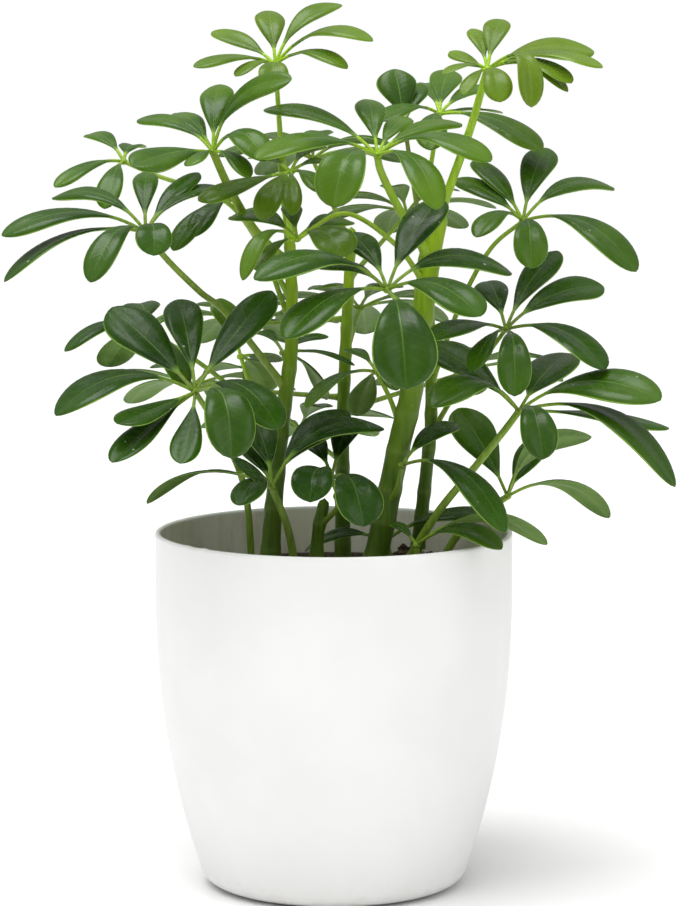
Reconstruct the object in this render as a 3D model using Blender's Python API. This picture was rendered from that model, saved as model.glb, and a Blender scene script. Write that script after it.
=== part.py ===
"""Potted umbrella plant (dwarf schefflera): a white cachepot, a nursery pot with soil, stems and leaves.

Metres, +Z up, origin at the centre of the cachepot's flat underside, -Y is the front.
Each palmate leaf is one solid: its stalk, its hub and its leaflets.
"""

import math

import bmesh
import bpy
from mathutils import Vector

MM = 0.001
GAP = 0.3 * MM  # clearance between pieces that touch

# ---------------------------------------------------------------- driving dimensions

POT_HEIGHT = 160 * MM
POT_RADIUS = 80 * MM
POT_WALL = 2.5 * MM
POT_FLOOR = 3.0 * MM
POT_TAPER = 22.6 * MM  # how much narrower the foot is than the widest ring, in radius
POT_TAPER_TOP = 135 * MM  # the wall is upright above this height
POT_TAPER_POWER = 2.24
POT_FOOT_RADIUS = 48 * MM  # flat ring that the pot stands on
POT_EDGE_HEIGHT = 8 * MM  # height of the rounded lower edge
POT_SIDES = 36

INNER_BASE_RADIUS = 50 * MM
INNER_TOP_RADIUS = 69 * MM
INNER_HEIGHT = 136 * MM
INNER_WALL = 1.4 * MM
INNER_FLOOR = 1.8 * MM
INNER_RIM = 2.4 * MM  # how far the rolled rim stands out
INNER_RIM_HEIGHT = 7 * MM
INNER_SIDES = 22
DRAIN_COUNT = 5
DRAIN_RADIUS = 4.5 * MM
DRAIN_CIRCLE = 30 * MM
DRAIN_SIDES = 10
CUT_PAST = 2 * MM  # how far a cutter reaches past what it cuts

SOIL_EDGE_HEIGHT = 134 * MM  # height of the soil against the nursery pot's wall
SOIL_MOUND = 6 * MM  # how much higher the soil is in the middle
SOIL_HOLE_DEPTH = 24 * MM

STEM_SIDES = 7
STEM_LIFT = 2 * MM  # a stem is upright in its hole and up to this height above the soil
STALK_LIFT = 3 * MM  # the same for a leaf stalk that stands in the soil
SOIL_STALK_RADIUS = 1.9 * MM
SIDE_STALK_RADIUS = 1.2 * MM
STALK_SWELL = 1.15  # a side stalk's thickness at its root and at its hub, as shares of its radius
STALK_NARROW = 0.85
SOIL_STALK_NARROW = 0.75
STALK_MIN_LEVEL = 0.35  # keeps a steep stalk's root near its stem
STALK_SIDES = 5
HUB_RADIUS = 2.3 * MM
HUB_SIDES = 6

BLADE_THICKNESS = 0.7 * MM
BLADE_WIDTH = 0.34  # width over length
BLADE_BOW = 0.12  # height of the arch over length
BLADE_CREST = 0.5  # place of the arch along the length
BLADE_ROLL = 16  # degrees that a sideways leaflet tips its upper face outwards
STALKLET_SHARE = 0.20  # the part of a leaflet's length that is its own small stalk
STALKLET_WIDTH = 1.7 * MM
STALKLET_THICKNESS = 1.3 * MM

# Outline of a leaflet from the end of its small stalk to its tip: (place along it, share of its width).
BLADE_OUTLINE = ((0.0, 0.12), (0.30, 0.66), (0.62, 1.0), (0.86, 0.80), (1.0, 0.30))

# ---------------------------------------------------------------- stems, in millimetres

# name: (radius at the soil, radius at the top, points from the soil upwards)
STEMS = {
    "stem_main": (5.3, 4.7, ((17, -12, 138), (22, -12, 165), (29, -10, 200), (34, -8, 221),
                             (40, -5, 263), (43, 0, 285), (47, 5, 303))),
    "stem_left": (4.4, 1.8, ((-29, 6, 138), (-27, 8, 170), (-23, 11, 210), (-19, 14, 243),
                             (-20, 18, 290), (-24, 18, 330))),
    "stem_right": (3.2, 2.2, ((37, 20, 138), (42, 22, 185), (44, 25, 215), (42, 31, 288))),
    "stem_back": (3.6, 2.2, ((4, 45, 138), (4, 50, 200), (6, 56, 250), (8, 60, 292))),
    "stem_short": (3.0, 2.6, ((-8, -10, 138), (-7, -11, 160), (-4, -12, 176))),
}

# ---------------------------------------------------------------- leaves, in millimetres and degrees

# name: stalk root, points that the stalk passes, hub, leaflets.
# The root is (stem, height) or ("soil", x, y). A leaflet is (azimuth, rise, length) and, where they differ
# from the usual, its width over its length, its roll, its bow and how far along it bends. Azimuth 0 is +X
# and 90 is +Y; rise is the angle above the level.
LEAVES = {
    "leaf_01": (("stem_left", 322), (), (-26, 15, 367), (
        (39, 35, 46, 0.27, 24, 0.15), (-29, 12, 50, 0.32, 16, 0.18), (-41, -2, 42, 0.27, 16, 0.15),
        (98, 41, 36, 0.38), (137, 20, 42, 0.28, 34, 0.06), (-143, -1, 44, 0.25, 20, 0.1),
        (-128, -10, 28, 0.3), (-90, -18, 32, 0.42, 16, 0.16, 0.7))),
    "leaf_02": (("stem_left", 277), ((-35, 11, 293), (-46, 3, 312)), (-53, -10, 329), (
        (87, 40, 45, 0.34, 10), (-25, 40, 50, 0.31, 52, 0.2), (139, 16, 48, 0.27, 22, 0.11),
        (118, 24, 40, 0.32, 16, 0.1), (-132, -5, 50, 0.36, 38, 0.06), (-52, -4, 38, 0.42, 34, 0.28),
        (-60, -17, 34, 0.27), (-111, -10, 28, 0.34, -20, 0.1))),
    "leaf_03": (("stem_left", 262), ((-43, 19, 301), (-62, 24, 311), (-80, 30, 317)), (-95, 35, 323), (
        (124, 19, 34, 0.34, 20, 0.13), (-135, -14, 42, 0.28, 20, 0.1), (-101, -29, 40, 0.3, 16, 0.14),
        (81, 10, 30, 0.42, 12))),
    "leaf_04": (("stem_left", 222), ((-47, 4, 256), (-59, -13, 268), (-73, -23, 283)), (-82, -25, 295), (
        (-156, 0, 66, 0.26, 18, 0.14), (-151, -16, 70, 0.21, 6, 0.14), (-116, -21, 52, 0.28, 16, 0.22),
        (-82, -11, 40, 0.4, 16, 0.18, 0.7), (148, 15, 52, 0.29, 22, 0.17), (92, 37, 41, 0.28),
        (56, 32, 46, 0.26, 20, 0.05), (43, 22, 48, 0.26, 15))),
    "leaf_05": (("stem_left", 250), ((-34, 34, 288),), (-45, 45, 305), (
        (-131, -27, 46, 0.28, 16, 0.14), (-121, -23, 38, 0.32, 16, 0.14))),
    "leaf_06": (("stem_main", 282), ((30, -12, 302), (21, -18, 320)), (19, -20, 328), (
        (148, 18, 62, 0.26, 18, 0.11), (-147, 0, 62, 0.33, 18, 0.13), (-110, -20, 58, 0.37, 16, 0.2, 0.7),
        (96, 34, 42, 0.33, 12), (65, 26, 36, 0.32, 16, 0.1), (39, 15, 50, 0.3, 20, 0.1),
        (-37, -1, 60, 0.3, 14, 0.16), (-61, -22, 56, 0.28, 8, 0.2))),
    "leaf_07": (("stem_left", 288), ((-20, 6, 306),), (-19, 0, 320), (
        (-149, -14, 48, 0.24, 34, 0.02), (-112, -31, 38, 0.33, 16, 0.14), (-88, -31, 34, 0.26, 16, 0.14),
        (-61, -16, 30, 0.34, 16, 0.14), (63, 16, 34, 0.3), (126, 9, 32, 0.3, 16, 0.1), (46, 3, 30, 0.32))),
    "leaf_08": (("stem_main", 298), ((53, 8, 317), (61, 9, 340)), (68, 10, 365), (
        (75, 40, 34, 0.36, 12, 0.1), (103, 36, 30, 0.3, 12, 0.1), (130, 17, 26, 0.32, 30, 0.02),
        (-141, -4, 26, 0.28, 14), (-119, -25, 26, 0.28), (24, 8, 54, 0.37, 28, 0.1), (-29, 1, 56, 0.3, 10),
        (-39, -7, 46, 0.3, 10, 0.14), (-83, -21, 38, 0.34, 16, 0.17, 0.66),
        (-66, -20, 46, 0.26, 10, 0.28, 0.72), (-33, -13, 42, 0.24, 4, 0.18))),
    "leaf_09": (("stem_right", 278), ((43, 42, 312),), (48, 50, 344), (
        (99, 19, 40, 0.3, 16, 0.1), (81, 27, 42, 0.36, 16, 0.04), (52, 14, 46, 0.34, 14, 0.08),
        (-34, -16, 56, 0.34, 22, 0.11), (-98, -22, 40, 0.36, 16, 0.14), (-136, -4, 38, 0.34, 16, 0.14),
        (49, -1, 46, 0.18, 10, 0.04))),
    "leaf_10": (("stem_right", 222), ((53, 18, 250), (61, 11, 270), (71, 7, 287)), (84, 5, 298), (
        (71, 38, 50, 0.32, 14, 0.08), (36, 14, 54, 0.31, 22, 0.17), (-39, -18, 64, 0.31, 12, 0.18),
        (-88, -22, 48, 0.32, 16, 0.18, 0.66), (-125, -8, 38, 0.34, 16, 0.18), (116, 29, 52, 0.25, 20, 0.06),
        (129, 21, 48, 0.28, 25, 0.06))),
    "leaf_11": (("stem_right", 200), ((56, 14, 222), (69, 1, 240)), (76, -10, 251), (
        (57, 35, 56, 0.28, 14, 0.05), (34, 17, 57, 0.33, 34, 0.09), (-44, -14, 58, 0.36, 14, 0.14),
        (-88, -27, 54, 0.28, 16, 0.17, 0.6), (-134, -2, 50, 0.34, 20, 0.09), (101, 26, 42, 0.36),
        (-114, -21, 42, 0.28, -14))),
    "leaf_12": (("soil", 27, -26), ((45, -29, 171), (60, -30, 190), (75, -31, 209)), (81, -30, 217), (
        (63, 22, 56, 0.4, 16, 0.05), (-29, 7, 68, 0.37, 32, 0.15), (-29, -21, 80, 0.28, 6, 0.2),
        (-81, -17, 52, 0.31, 16, 0.2, 0.7), (132, 24, 64, 0.31, 30, 0.05), (-139, 6, 52, 0.36, 22, 0.24),
        (18, -8, 72, 0.26, 8, 0.03))),
    "leaf_13": (("soil", 48, 26), ((56, 29, 153), (66, 31, 162)), (79, 30, 171), (
        (-24, 36, 50, 0.32, -44, 0.2), (24, -14, 54, 0.29, -25, 0.2), (51, 45, 36, 0.44, 16, 0.06),
        (132, 49, 50, 0.42, 24, 0.06))),
    "leaf_14": (("stem_main", 242), ((31, -34, 262),), (23, -55, 272), (
        (58, 40, 58, 0.33, 16, 0.08), (116, 27, 48), (130, 9, 44, 0.3, 14), (-152, 6, 64, 0.33, 18, 0.19),
        (-136, -16, 62, 0.34, 14, 0.13), (-82, -34, 66, 0.42, 16, 0.19, 0.62), (24, 5, 60, 0.35, 24, 0.18),
        (-46, -8, 56, 0.4, 24, 0.16))),
    "leaf_15": (("stem_main", 270), ((27, -15, 289), (5, -23, 303)), (-16, -25, 292), (
        (-50, -10, 34, 0.56, 34, 0.2), (44, 10, 34, 0.42, 26), (136, 11, 42, 0.4, 26, 0.1),
        (-126, -22, 42, 0.22, 16, 0.26), (-130, -24, 30, 0.3, 16, 0.14), (97, 26, 30, 0.32))),
    "leaf_16": (("soil", -36, -18), ((-39, -22, 180), (-48, -30, 205)), (-60, -45, 227), (
        (137, 33, 62, 0.38, 32, 0.03), (102, 39, 58, 0.3, 16, 0.08), (51, 38, 66, 0.29, 26, 0.02),
        (-152, -6, 66, 0.32, 24, 0.17), (-130, -11, 50, 0.33, 24, 0), (-128, -25, 60, 0.25, 16, 0.02),
        (-97, -33, 48, 0.28, 16, 0), (-73, -20, 64, 0.35, 16, 0.22, 0.72),
        (-48, -12, 56, 0.37, 16, 0.21))),
    "leaf_17": (("stem_left", 203), ((-55, 28, 228),), (-84, 40, 246), (
        (-140, -8, 48, 0.25, 12, 0.16), (124, -27, 44, 0.4, -24, 0.1), (103, 15, 34, 0.55, 10, 0.14),
        (-65, -29, 46, 0.3, -20), (55, 5, 38, 0.3, 12, 0.1))),
    "leaf_18": (("soil", -16, -32), ((-20, -34, 165),), (-27, -35, 184), (
        (156, -10, 62, 0.24, -4, 0.17), (-110, -4, 40, 0.36, 16, 0.18), (-123, 23, 26, 0.75, 70, 0.1),
        (51, 29, 60, 0.3, 24, 0.09), (35, 20, 64, 0.27, 20, 0.2), (105, 34, 50, 0.34, 16, 0.1),
        (108, 22, 42, 0.3, 16, 0.06))),
    "leaf_19": (("stem_short", 163), ((2, -18, 174),), (-1, -16, 186), (
        (-102, -7, 44, 0.42, 16, 0.18, 0.72), (-75, -15, 56, 0.38, 16, 0.18, 0.72), (75, 32, 42),
        (113, 21, 40))),
    "leaf_20": (("stem_main", 172), ((28, -20, 182),), (30, -22, 192), (
        (-51, -18, 72, 0.24, 10, 0.2), (51, 21, 42, 0.34, 14, 0.1))),
    "leaf_21": (("stem_left", 207), ((-20, 22, 222),), (-23, 27, 237), (
        (37, 14, 26, 0.34, 10, 0.08), (0, -10, 33, 0.24, 6, 0.1), (39, -43, 34, 0.5, 16, 0.14),
        (113, 9, 36, 0.28, 12))),
    "leaf_29": (("soil", 37, -37), (), (36, -40, 159), (
        (-30, 2, 42, 0.34, 24, 0.19), (15, -2, 60, 0.27, -25, 0.21), (120, 21, 22, 0.3, 16, 0.1))),
    "leaf_30": (("stem_main", 205), ((25, 2, 219),), (19, 12, 230), (
        (108, -40, 36, 0.38, 16, 0.14), (-132, -15, 48, 0.22, 4), (115, 12, 34, 0.26, 10, 0.1),
        (66, 12, 34, 0.28, 12, 0.1), (-72, -11, 29, 0.3, 12))),
    "leaf_31": (("stem_left", 186), ((-33, 25, 206),), (-42, 20, 236), (
        (117, 51, 32, 0.5, -20, 0.05), (68, -34, 34, 0.5, -30, 0.1), (56, -10, 28, 0.5, -24, 0.06))),
    "leaf_32": (("stem_right", 270), ((38, 40, 300),), (32, 42, 339), (
        (106, 57, 30, 0.62, 16, 0.06), (68, 41, 28, 0.4, 16, 0.08), (115, 4, 34, 0.34, 16, 0.1))),
    "leaf_33": (("soil", 26, 8), (), (23, 6, 154), (
        (157, -10, 40, 0.32, 24, 0.15), (0, 11, 54, 0.26, 24, 0.14), (122, 31, 40, 0.5, 16, 0.06))),
}

# radius of the leaf stalks that are thicker or thinner than the rest
THICK_STALKS = {"leaf_02": 2.1, "leaf_04": 1.6, "leaf_06": 2.0, "leaf_08": 2.0, "leaf_16": 1.6}

# Leaves of the far side, whose leaflets stand evenly round the hub:
# name: stalk root, hub, number of leaflets, length, azimuth of the first, rise of the inner and outer ones.
BACK_LEAVES = {
    "leaf_22": (("stem_back", 284), (-10, 82, 322), 7, 46, 20, 20, -14),
    "leaf_23": (("stem_back", 268), (34, 94, 296), 7, 44, 50, 22, -16),
    "leaf_24": (("stem_back", 250), (-42, 92, 244), 6, 46, 0, 20, -18),
    "leaf_25": (("stem_back", 232), (12, 108, 250), 7, 52, 35, 18, -18),
    "leaf_26": (("stem_back", 214), (-66, 80, 216), 6, 50, 10, 18, -18),
    "leaf_27": (("stem_back", 208), (62, 88, 222), 6, 52, 25, 18, -18),
    "leaf_28": (("stem_back", 184), (-16, 98, 194), 6, 50, 45, 20, -14),
}

# ---------------------------------------------------------------- materials

# name: (colour, roughness, metallic)
MATERIALS = {
    "pot_plastic": ((0.88, 0.88, 0.86), 0.42, 0.0),
    "nursery_plastic": ((0.045, 0.032, 0.026), 0.55, 0.0),
    "soil_dark": ((0.040, 0.026, 0.018), 0.95, 0.0),
    "stem_green": ((0.16, 0.27, 0.045), 0.45, 0.0),
    "leaf_green": ((0.045, 0.16, 0.028), 0.32, 0.0),
}


def material(name):
    """The Principled material of that name, made once."""
    found = bpy.data.materials.get(name)
    if found:
        return found
    colour, roughness, metallic = MATERIALS[name]
    made = bpy.data.materials.new(name)
    made.use_nodes = True
    shader = made.node_tree.nodes["Principled BSDF"]
    shader.inputs["Base Color"].default_value = (*colour, 1.0)
    shader.inputs["Roughness"].default_value = roughness
    shader.inputs["Metallic"].default_value = metallic
    made.diffuse_color = (*colour, 1.0)
    return made


# ---------------------------------------------------------------- mesh helpers


def add_object(name, points, faces, material_name):
    """A mesh object from points and faces, with its faces turned outwards."""
    mesh = bpy.data.meshes.new(name)
    shape = bmesh.new()
    corners = [shape.verts.new(point) for point in points]
    for face in faces:
        shape.faces.new([corners[index] for index in face])
    bmesh.ops.recalc_face_normals(shape, faces=shape.faces)
    bmesh.ops.triangulate(shape, faces=[face for face in shape.faces if len(face.verts) > 4])
    shape.to_mesh(mesh)
    shape.free()
    mesh.materials.append(material(material_name))
    made = bpy.data.objects.new(name, mesh)
    bpy.context.scene.collection.objects.link(made)
    return made


def shade(target, angle=40):
    """Smooth shading with edges sharper than the angle left crisp."""
    target.data.shade_smooth()
    target.data.set_sharp_from_angle(angle=math.radians(angle))


def lofted(rings):
    """Points and faces of a closed solid through rings of equal count, with a flat cap at each end."""
    count = len(rings[0])
    points = [point for ring in rings for point in ring]
    faces = []
    for level in range(len(rings) - 1):
        low = level * count
        for side in range(count):
            turn = (side + 1) % count
            faces.append((low + side, low + turn, low + count + turn, low + count + side))
    faces.append(tuple(range(count)))
    last = (len(rings) - 1) * count
    faces.append(tuple(range(last, last + count)))
    return points, faces


def turned(profile, sides):
    """Points and faces of a closed profile of (radius, height) turned round Z; a radius of 0 is one point."""
    points = []
    rows = []
    for radius, height in profile:
        if radius == 0:
            rows.append([len(points)] * sides)
            points.append(Vector((0, 0, height)))
            continue
        rows.append(list(range(len(points), len(points) + sides)))
        for side in range(sides):
            angle = math.tau * side / sides
            points.append(Vector((radius * math.cos(angle), radius * math.sin(angle), height)))
    faces = []
    for low, high in zip(rows, rows[1:]):
        for side in range(sides):
            turn = (side + 1) % sides
            corners = dict.fromkeys((low[side], low[turn], high[turn], high[side]))
            faces.append(tuple(corners))
    return points, faces


def tube(path, radii, sides):
    """Points and faces of a round bar along a path, with a radius at each point."""
    rings = []
    across = None
    for index, point in enumerate(path):
        ahead = path[min(index + 1, len(path) - 1)]
        behind = path[max(index - 1, 0)]
        along = (ahead - behind).normalized()
        if across is None:
            across = along.cross(Vector((0, 1, 0))).normalized()
        across = (across - along * across.dot(along)).normalized()
        other = along.cross(across)
        rings.append([
            point + (across * math.cos(math.tau * side / sides) + other * math.sin(math.tau * side / sides))
            * radii[index] for side in range(sides)])
    return lofted(rings)


def curve_through(points, steps):
    """A smooth Catmull-Rom path through the points, with that many steps between two of them."""
    ends = [points[0] * 2 - points[1], *points, points[-1] * 2 - points[-2]]
    path = []
    for before, start, stop, after in zip(ends, ends[1:], ends[2:], ends[3:]):
        for step in range(steps):
            t = step / steps
            path.append(0.5 * (start * 2 + (stop - before) * t
                               + (before * 2 - start * 5 + stop * 4 - after) * t ** 2
                               + (start * 3 - before - stop * 3 + after) * t ** 3))
    path.append(points[-1].copy())
    return path


def joined(name, pieces, material_name):
    """One object that is the union of the pieces, which are removed."""
    group = bpy.data.collections.new(name + "_pieces")
    bpy.context.scene.collection.children.link(group)
    base = pieces[0]
    for piece in pieces[1:]:
        bpy.context.scene.collection.objects.unlink(piece)
        group.objects.link(piece)
    union = base.modifiers.new("union", "BOOLEAN")
    union.operation = "UNION"
    union.operand_type = "COLLECTION"
    union.collection = group
    union.solver = "EXACT"
    graph = bpy.context.evaluated_depsgraph_get()
    mesh = bpy.data.meshes.new_from_object(base.evaluated_get(graph))
    for piece in pieces:
        bpy.data.objects.remove(piece)
    bpy.data.collections.remove(group)
    mesh.name = name
    mesh.materials.clear()
    mesh.materials.append(material(material_name))
    made = bpy.data.objects.new(name, mesh)
    bpy.context.scene.collection.objects.link(made)
    shade(made, 50)
    return made


def cut(target, cutters, solver="EXACT"):
    """Cuts the cutters out of the target, and hides them as guides."""
    for index, cutter in enumerate(cutters):
        cutter.hide_render = True
        cutter.display_type = "WIRE"
        hole = target.modifiers.new(f"hole_{index}", "BOOLEAN")
        hole.operation = "DIFFERENCE"
        hole.solver = solver
        hole.object = cutter


# ---------------------------------------------------------------- pots and soil


def pot_radius(height):
    """Outer radius of the cachepot at a height: upright at the top, tapering ever faster to the foot."""
    below = max(0.0, POT_TAPER_TOP - height) / POT_TAPER_TOP
    return POT_RADIUS - POT_TAPER * below ** POT_TAPER_POWER


def make_cachepot():
    edge = pot_radius(POT_EDGE_HEIGHT)
    outer = [(POT_FOOT_RADIUS, 0)]
    for step in (1, 2, 3):
        angle = math.radians(30 * step)
        outer.append((POT_FOOT_RADIUS + (edge - POT_FOOT_RADIUS) * math.sin(angle),
                      POT_EDGE_HEIGHT * (1 - math.cos(angle))))
    for height in (26, 48, 72, 100, 135):
        outer.append((pot_radius(height * MM), height * MM))
    lip = POT_WALL / 2
    for angle in (0, 60, 120, 180):
        turn = math.radians(angle)
        outer.append((POT_RADIUS - lip + lip * math.cos(turn), POT_HEIGHT - lip + lip * math.sin(turn)))
    inner = [(pot_radius(height * MM) - POT_WALL, height * MM) for height in (135, 100, 72, 48, 26)]
    inner.append((edge - POT_WALL, POT_EDGE_HEIGHT + POT_FLOOR))
    inner.append((POT_FOOT_RADIUS + 4 * MM, POT_FLOOR))
    profile = [(0, 0), *outer, *inner, (0, POT_FLOOR)]
    pot = add_object("cachepot", *turned(profile, POT_SIDES), "pot_plastic")
    shade(pot)


def inner_radius(height):
    """Outer radius of the nursery pot at a height above its own underside."""
    return INNER_BASE_RADIUS + (INNER_TOP_RADIUS - INNER_BASE_RADIUS) * height / INNER_HEIGHT


def make_nursery_pot():
    foot = POT_FLOOR + GAP
    top = foot + INNER_HEIGHT
    rim_low = INNER_HEIGHT - INNER_RIM_HEIGHT
    profile = [
        (0, foot),
        (INNER_BASE_RADIUS, foot),
        (inner_radius(rim_low), foot + rim_low),
        (inner_radius(rim_low) + INNER_RIM, foot + rim_low),
        (INNER_TOP_RADIUS + INNER_RIM, top - 1.2 * MM),
        (INNER_TOP_RADIUS + INNER_RIM - 1 * MM, top),
        (INNER_TOP_RADIUS - INNER_WALL + 0.4 * MM, top),
        (INNER_TOP_RADIUS - INNER_WALL, top - 0.6 * MM),
        (INNER_BASE_RADIUS - INNER_WALL, foot + INNER_FLOOR),
        (0, foot + INNER_FLOOR),
    ]
    pot = add_object("nursery_pot", *turned(profile, INNER_SIDES), "nursery_plastic")
    drains = []
    for index in range(DRAIN_COUNT):
        angle = math.tau * index / DRAIN_COUNT
        centre = Vector((DRAIN_CIRCLE * math.cos(angle), DRAIN_CIRCLE * math.sin(angle), foot))
        path = [centre - Vector((0, 0, CUT_PAST)), centre + Vector((0, 0, INNER_FLOOR + CUT_PAST))]
        drain = tube(path, [DRAIN_RADIUS] * 2, DRAIN_SIDES)
        drains.append(add_object(f"drain_{index}", *drain, "nursery_plastic"))
    cut(pot, drains, "MANIFOLD")
    shade(pot)


def soil_height(x, y):
    """Height of the soil surface: a low mound with gentle humps."""
    reach = math.hypot(x, y) / INNER_TOP_RADIUS
    humps = math.sin(x / (11 * MM)) * math.cos(y / (13 * MM) + 0.6)
    return SOIL_EDGE_HEIGHT + SOIL_MOUND * (1 - reach ** 2) + 1.2 * MM * humps * (1 - reach)


def make_soil():
    foot = POT_FLOOR + GAP + INNER_FLOOR + GAP
    side_slope = (INNER_TOP_RADIUS - INNER_BASE_RADIUS) / INNER_HEIGHT
    base = INNER_BASE_RADIUS - INNER_WALL - 2 * GAP
    edge = base + side_slope * (SOIL_EDGE_HEIGHT - foot) - GAP
    points = [Vector((0, 0, foot))]
    rows = [[0] * INNER_SIDES]
    rings = [(base, None), (edge, 1.0), (0.75 * edge, 1.0), (0.5 * edge, 1.0), (0.25 * edge, 1.0)]
    for radius, on_top in rings:
        rows.append(list(range(len(points), len(points) + INNER_SIDES)))
        for side in range(INNER_SIDES):
            angle = math.tau * side / INNER_SIDES
            x, y = radius * math.cos(angle), radius * math.sin(angle)
            points.append(Vector((x, y, soil_height(x, y) if on_top else foot)))
    rows.append([len(points)] * INNER_SIDES)
    points.append(Vector((0, 0, soil_height(0, 0))))
    faces = []
    for low, high in zip(rows, rows[1:]):
        for side in range(INNER_SIDES):
            turn = (side + 1) % INNER_SIDES
            faces.append(tuple(dict.fromkeys((low[side], low[turn], high[turn], high[side]))))
    soil = add_object("soil", points, faces, "soil_dark")
    holes = []
    for index, (x, y, radius, sides) in enumerate(soil_entries()):
        top = Vector((x, y, SOIL_EDGE_HEIGHT + SOIL_MOUND + 2 * CUT_PAST))
        bottom = Vector((x, y, soil_height(x, y) - SOIL_HOLE_DEPTH - GAP))
        wide = (radius + GAP) / math.cos(math.pi / sides)
        holes.append(add_object(f"hole_{index}", *tube([bottom, top], [wide] * 2, sides), "soil_dark"))
    cut(soil, holes)
    shade(soil, 60)


# ---------------------------------------------------------------- stems


def stem_path(name):
    """(path, radii) of a stem: upright in its hole in the soil, then through its points."""
    low, high, points = STEMS[name]
    above = [Vector(point) * MM for point in points]
    x, y = above[0].x, above[0].y
    start = soil_height(x, y)
    above[0].z = start + STEM_LIFT
    path = curve_through(above, 2)
    radii = [(low + (high - low) * index / (len(path) - 1)) * MM for index in range(len(path))]
    return [Vector((x, y, start - SOIL_HOLE_DEPTH)), *path], [low * MM, *radii]


def stem_at(name, height):
    """(axis point, radius) of a stem at a height."""
    path, radii = stem_path(name)
    for low, high, r_low, r_high in zip(path, path[1:], radii, radii[1:]):
        if low.z <= height <= high.z:
            share = (height - low.z) / (high.z - low.z)
            return low.lerp(high, share), r_low + (r_high - r_low) * share
    return path[-1], radii[-1]


def make_stems():
    for name in STEMS:
        path, radii = stem_path(name)
        stem = add_object(name, *tube(path, radii, STEM_SIDES), "stem_green")
        shade(stem, 60)


# ---------------------------------------------------------------- leaves


def stalk_radius(name, root):
    """Leaf stalks from the soil are thicker than those on a stem, and some have a width of their own."""
    if name in THICK_STALKS:
        return THICK_STALKS[name] * MM
    return SOIL_STALK_RADIUS if root[0] == "soil" else SIDE_STALK_RADIUS


def stalk_path(name, root, passes, hub):
    """The path of a leaf's stalk, from its root in the soil or clear of its stem to its hub."""
    beyond = [Vector(point) * MM for point in (*passes, hub)]
    if root[0] == "soil":
        x, y = root[1] * MM, root[2] * MM
        start = soil_height(x, y)
        upright = Vector((x, y, start - SOIL_HOLE_DEPTH))
        return [upright, *curve_through([Vector((x, y, start + STALK_LIFT)), *beyond], 3)]
    axis, radius = stem_at(root[0], root[1] * MM)
    outwards = (beyond[0] - axis).normalized()
    level = max(STALK_MIN_LEVEL, math.hypot(outwards.x, outwards.y))
    start = axis + outwards * ((radius + 2 * GAP + stalk_radius(name, root) * abs(outwards.z)) / level)
    return curve_through([start, *beyond], 3 if passes else 4)


def soil_entries():
    """(x, y, radius, sides) of everything that stands in the soil."""
    found = []
    for low, _, points in STEMS.values():
        found.append((points[0][0] * MM, points[0][1] * MM, low * MM, STEM_SIDES))
    for name, (root, _, _, _) in LEAVES.items():
        if root[0] == "soil":
            found.append((root[1] * MM, root[2] * MM, stalk_radius(name, root), STALK_SIDES))
    return found


def blade_rings(hub, outwards, azimuth, rise, length, width_share=BLADE_WIDTH, roll=BLADE_ROLL,
                bow=BLADE_BOW, bend=BLADE_CREST):
    """Rings of a leaflet: a small stalk that widens into an arched, rolled, obovate blade."""
    length *= MM
    turn, lift = math.radians(azimuth), math.radians(rise)
    chord = Vector((math.cos(turn) * math.cos(lift), math.sin(turn) * math.cos(lift), math.sin(lift)))
    upper = (Vector((0, 0, 1)) - chord * chord.z).normalized()
    across = chord.cross(upper)
    if across.dot(outwards) < 0:
        across = -across
    tilt = math.radians(roll) * abs(across.dot(outwards))
    across = across * math.cos(tilt) - upper * math.sin(tilt)
    tip = hub + chord * length
    crest = hub + chord * (bend * length) + upper * (2 * bow * length)
    stations = [(0.0, STALKLET_WIDTH, STALKLET_THICKNESS)]
    for place, share in BLADE_OUTLINE:
        along = STALKLET_SHARE + (1 - STALKLET_SHARE) * place
        width = share * width_share * length
        stations.append((along, width, STALKLET_THICKNESS if place == 0 else BLADE_THICKNESS))
    rings = []
    for along, width, thickness in stations:
        centre = hub * (1 - along) ** 2 + crest * (2 * along * (1 - along)) + tip * along ** 2
        ahead = ((crest - hub) * (1 - along) + (tip - crest) * along).normalized()
        normal = ahead.cross(across).normalized()
        half, thick = across * (width / 2), normal * (thickness / 2)
        corners = ((-1, -1), (1, -1), (1, 1), (-1, 1))
        rings.append([centre + half * side + thick * face for side, face in corners])
    return rings


def make_leaf(name, root, passes, hub, blades, outwards):
    """One palmate leaf: the stalk, a knob at its hub, and the leaflets, fused."""
    path = stalk_path(name, root, passes, hub)
    thick = stalk_radius(name, root)
    widest, narrowest = (1.0, SOIL_STALK_NARROW) if root[0] == "soil" else (STALK_SWELL, STALK_NARROW)
    radii = [thick * (widest + (narrowest - widest) * index / (len(path) - 1)) for index in range(len(path))]
    if root[0] == "soil":
        radii[1] = thick
    centre = Vector(hub) * MM
    pieces = [add_object(name + "_stalk", *tube(path, radii, STALK_SIDES), "stem_green")]
    knob = [centre - Vector((0, 0, HUB_RADIUS)), centre, centre + Vector((0, 0, 0.8 * HUB_RADIUS))]
    knob_radii = [0.5 * HUB_RADIUS, HUB_RADIUS, 0.5 * HUB_RADIUS]
    pieces.append(add_object(name + "_hub", *tube(knob, knob_radii, HUB_SIDES), "stem_green"))
    for index, blade in enumerate(blades):
        rings = blade_rings(centre, outwards, *blade)
        pieces.append(add_object(f"{name}_blade_{index}", *lofted(rings), "leaf_green"))
    joined(name, pieces, "leaf_green")


def even_blades(count, length, first, inner_rise, outer_rise):
    """Leaflets evenly round a hub, rising towards the plant's middle and drooping away from it."""
    blades = []
    for index in range(count):
        azimuth = first + 360 * index / count
        outward = (1 + math.sin(math.radians(azimuth))) / 2
        rise = inner_rise + (outer_rise - inner_rise) * outward
        blades.append((azimuth, rise, length * (0.88 + 0.16 * outward)))
    return blades


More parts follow.
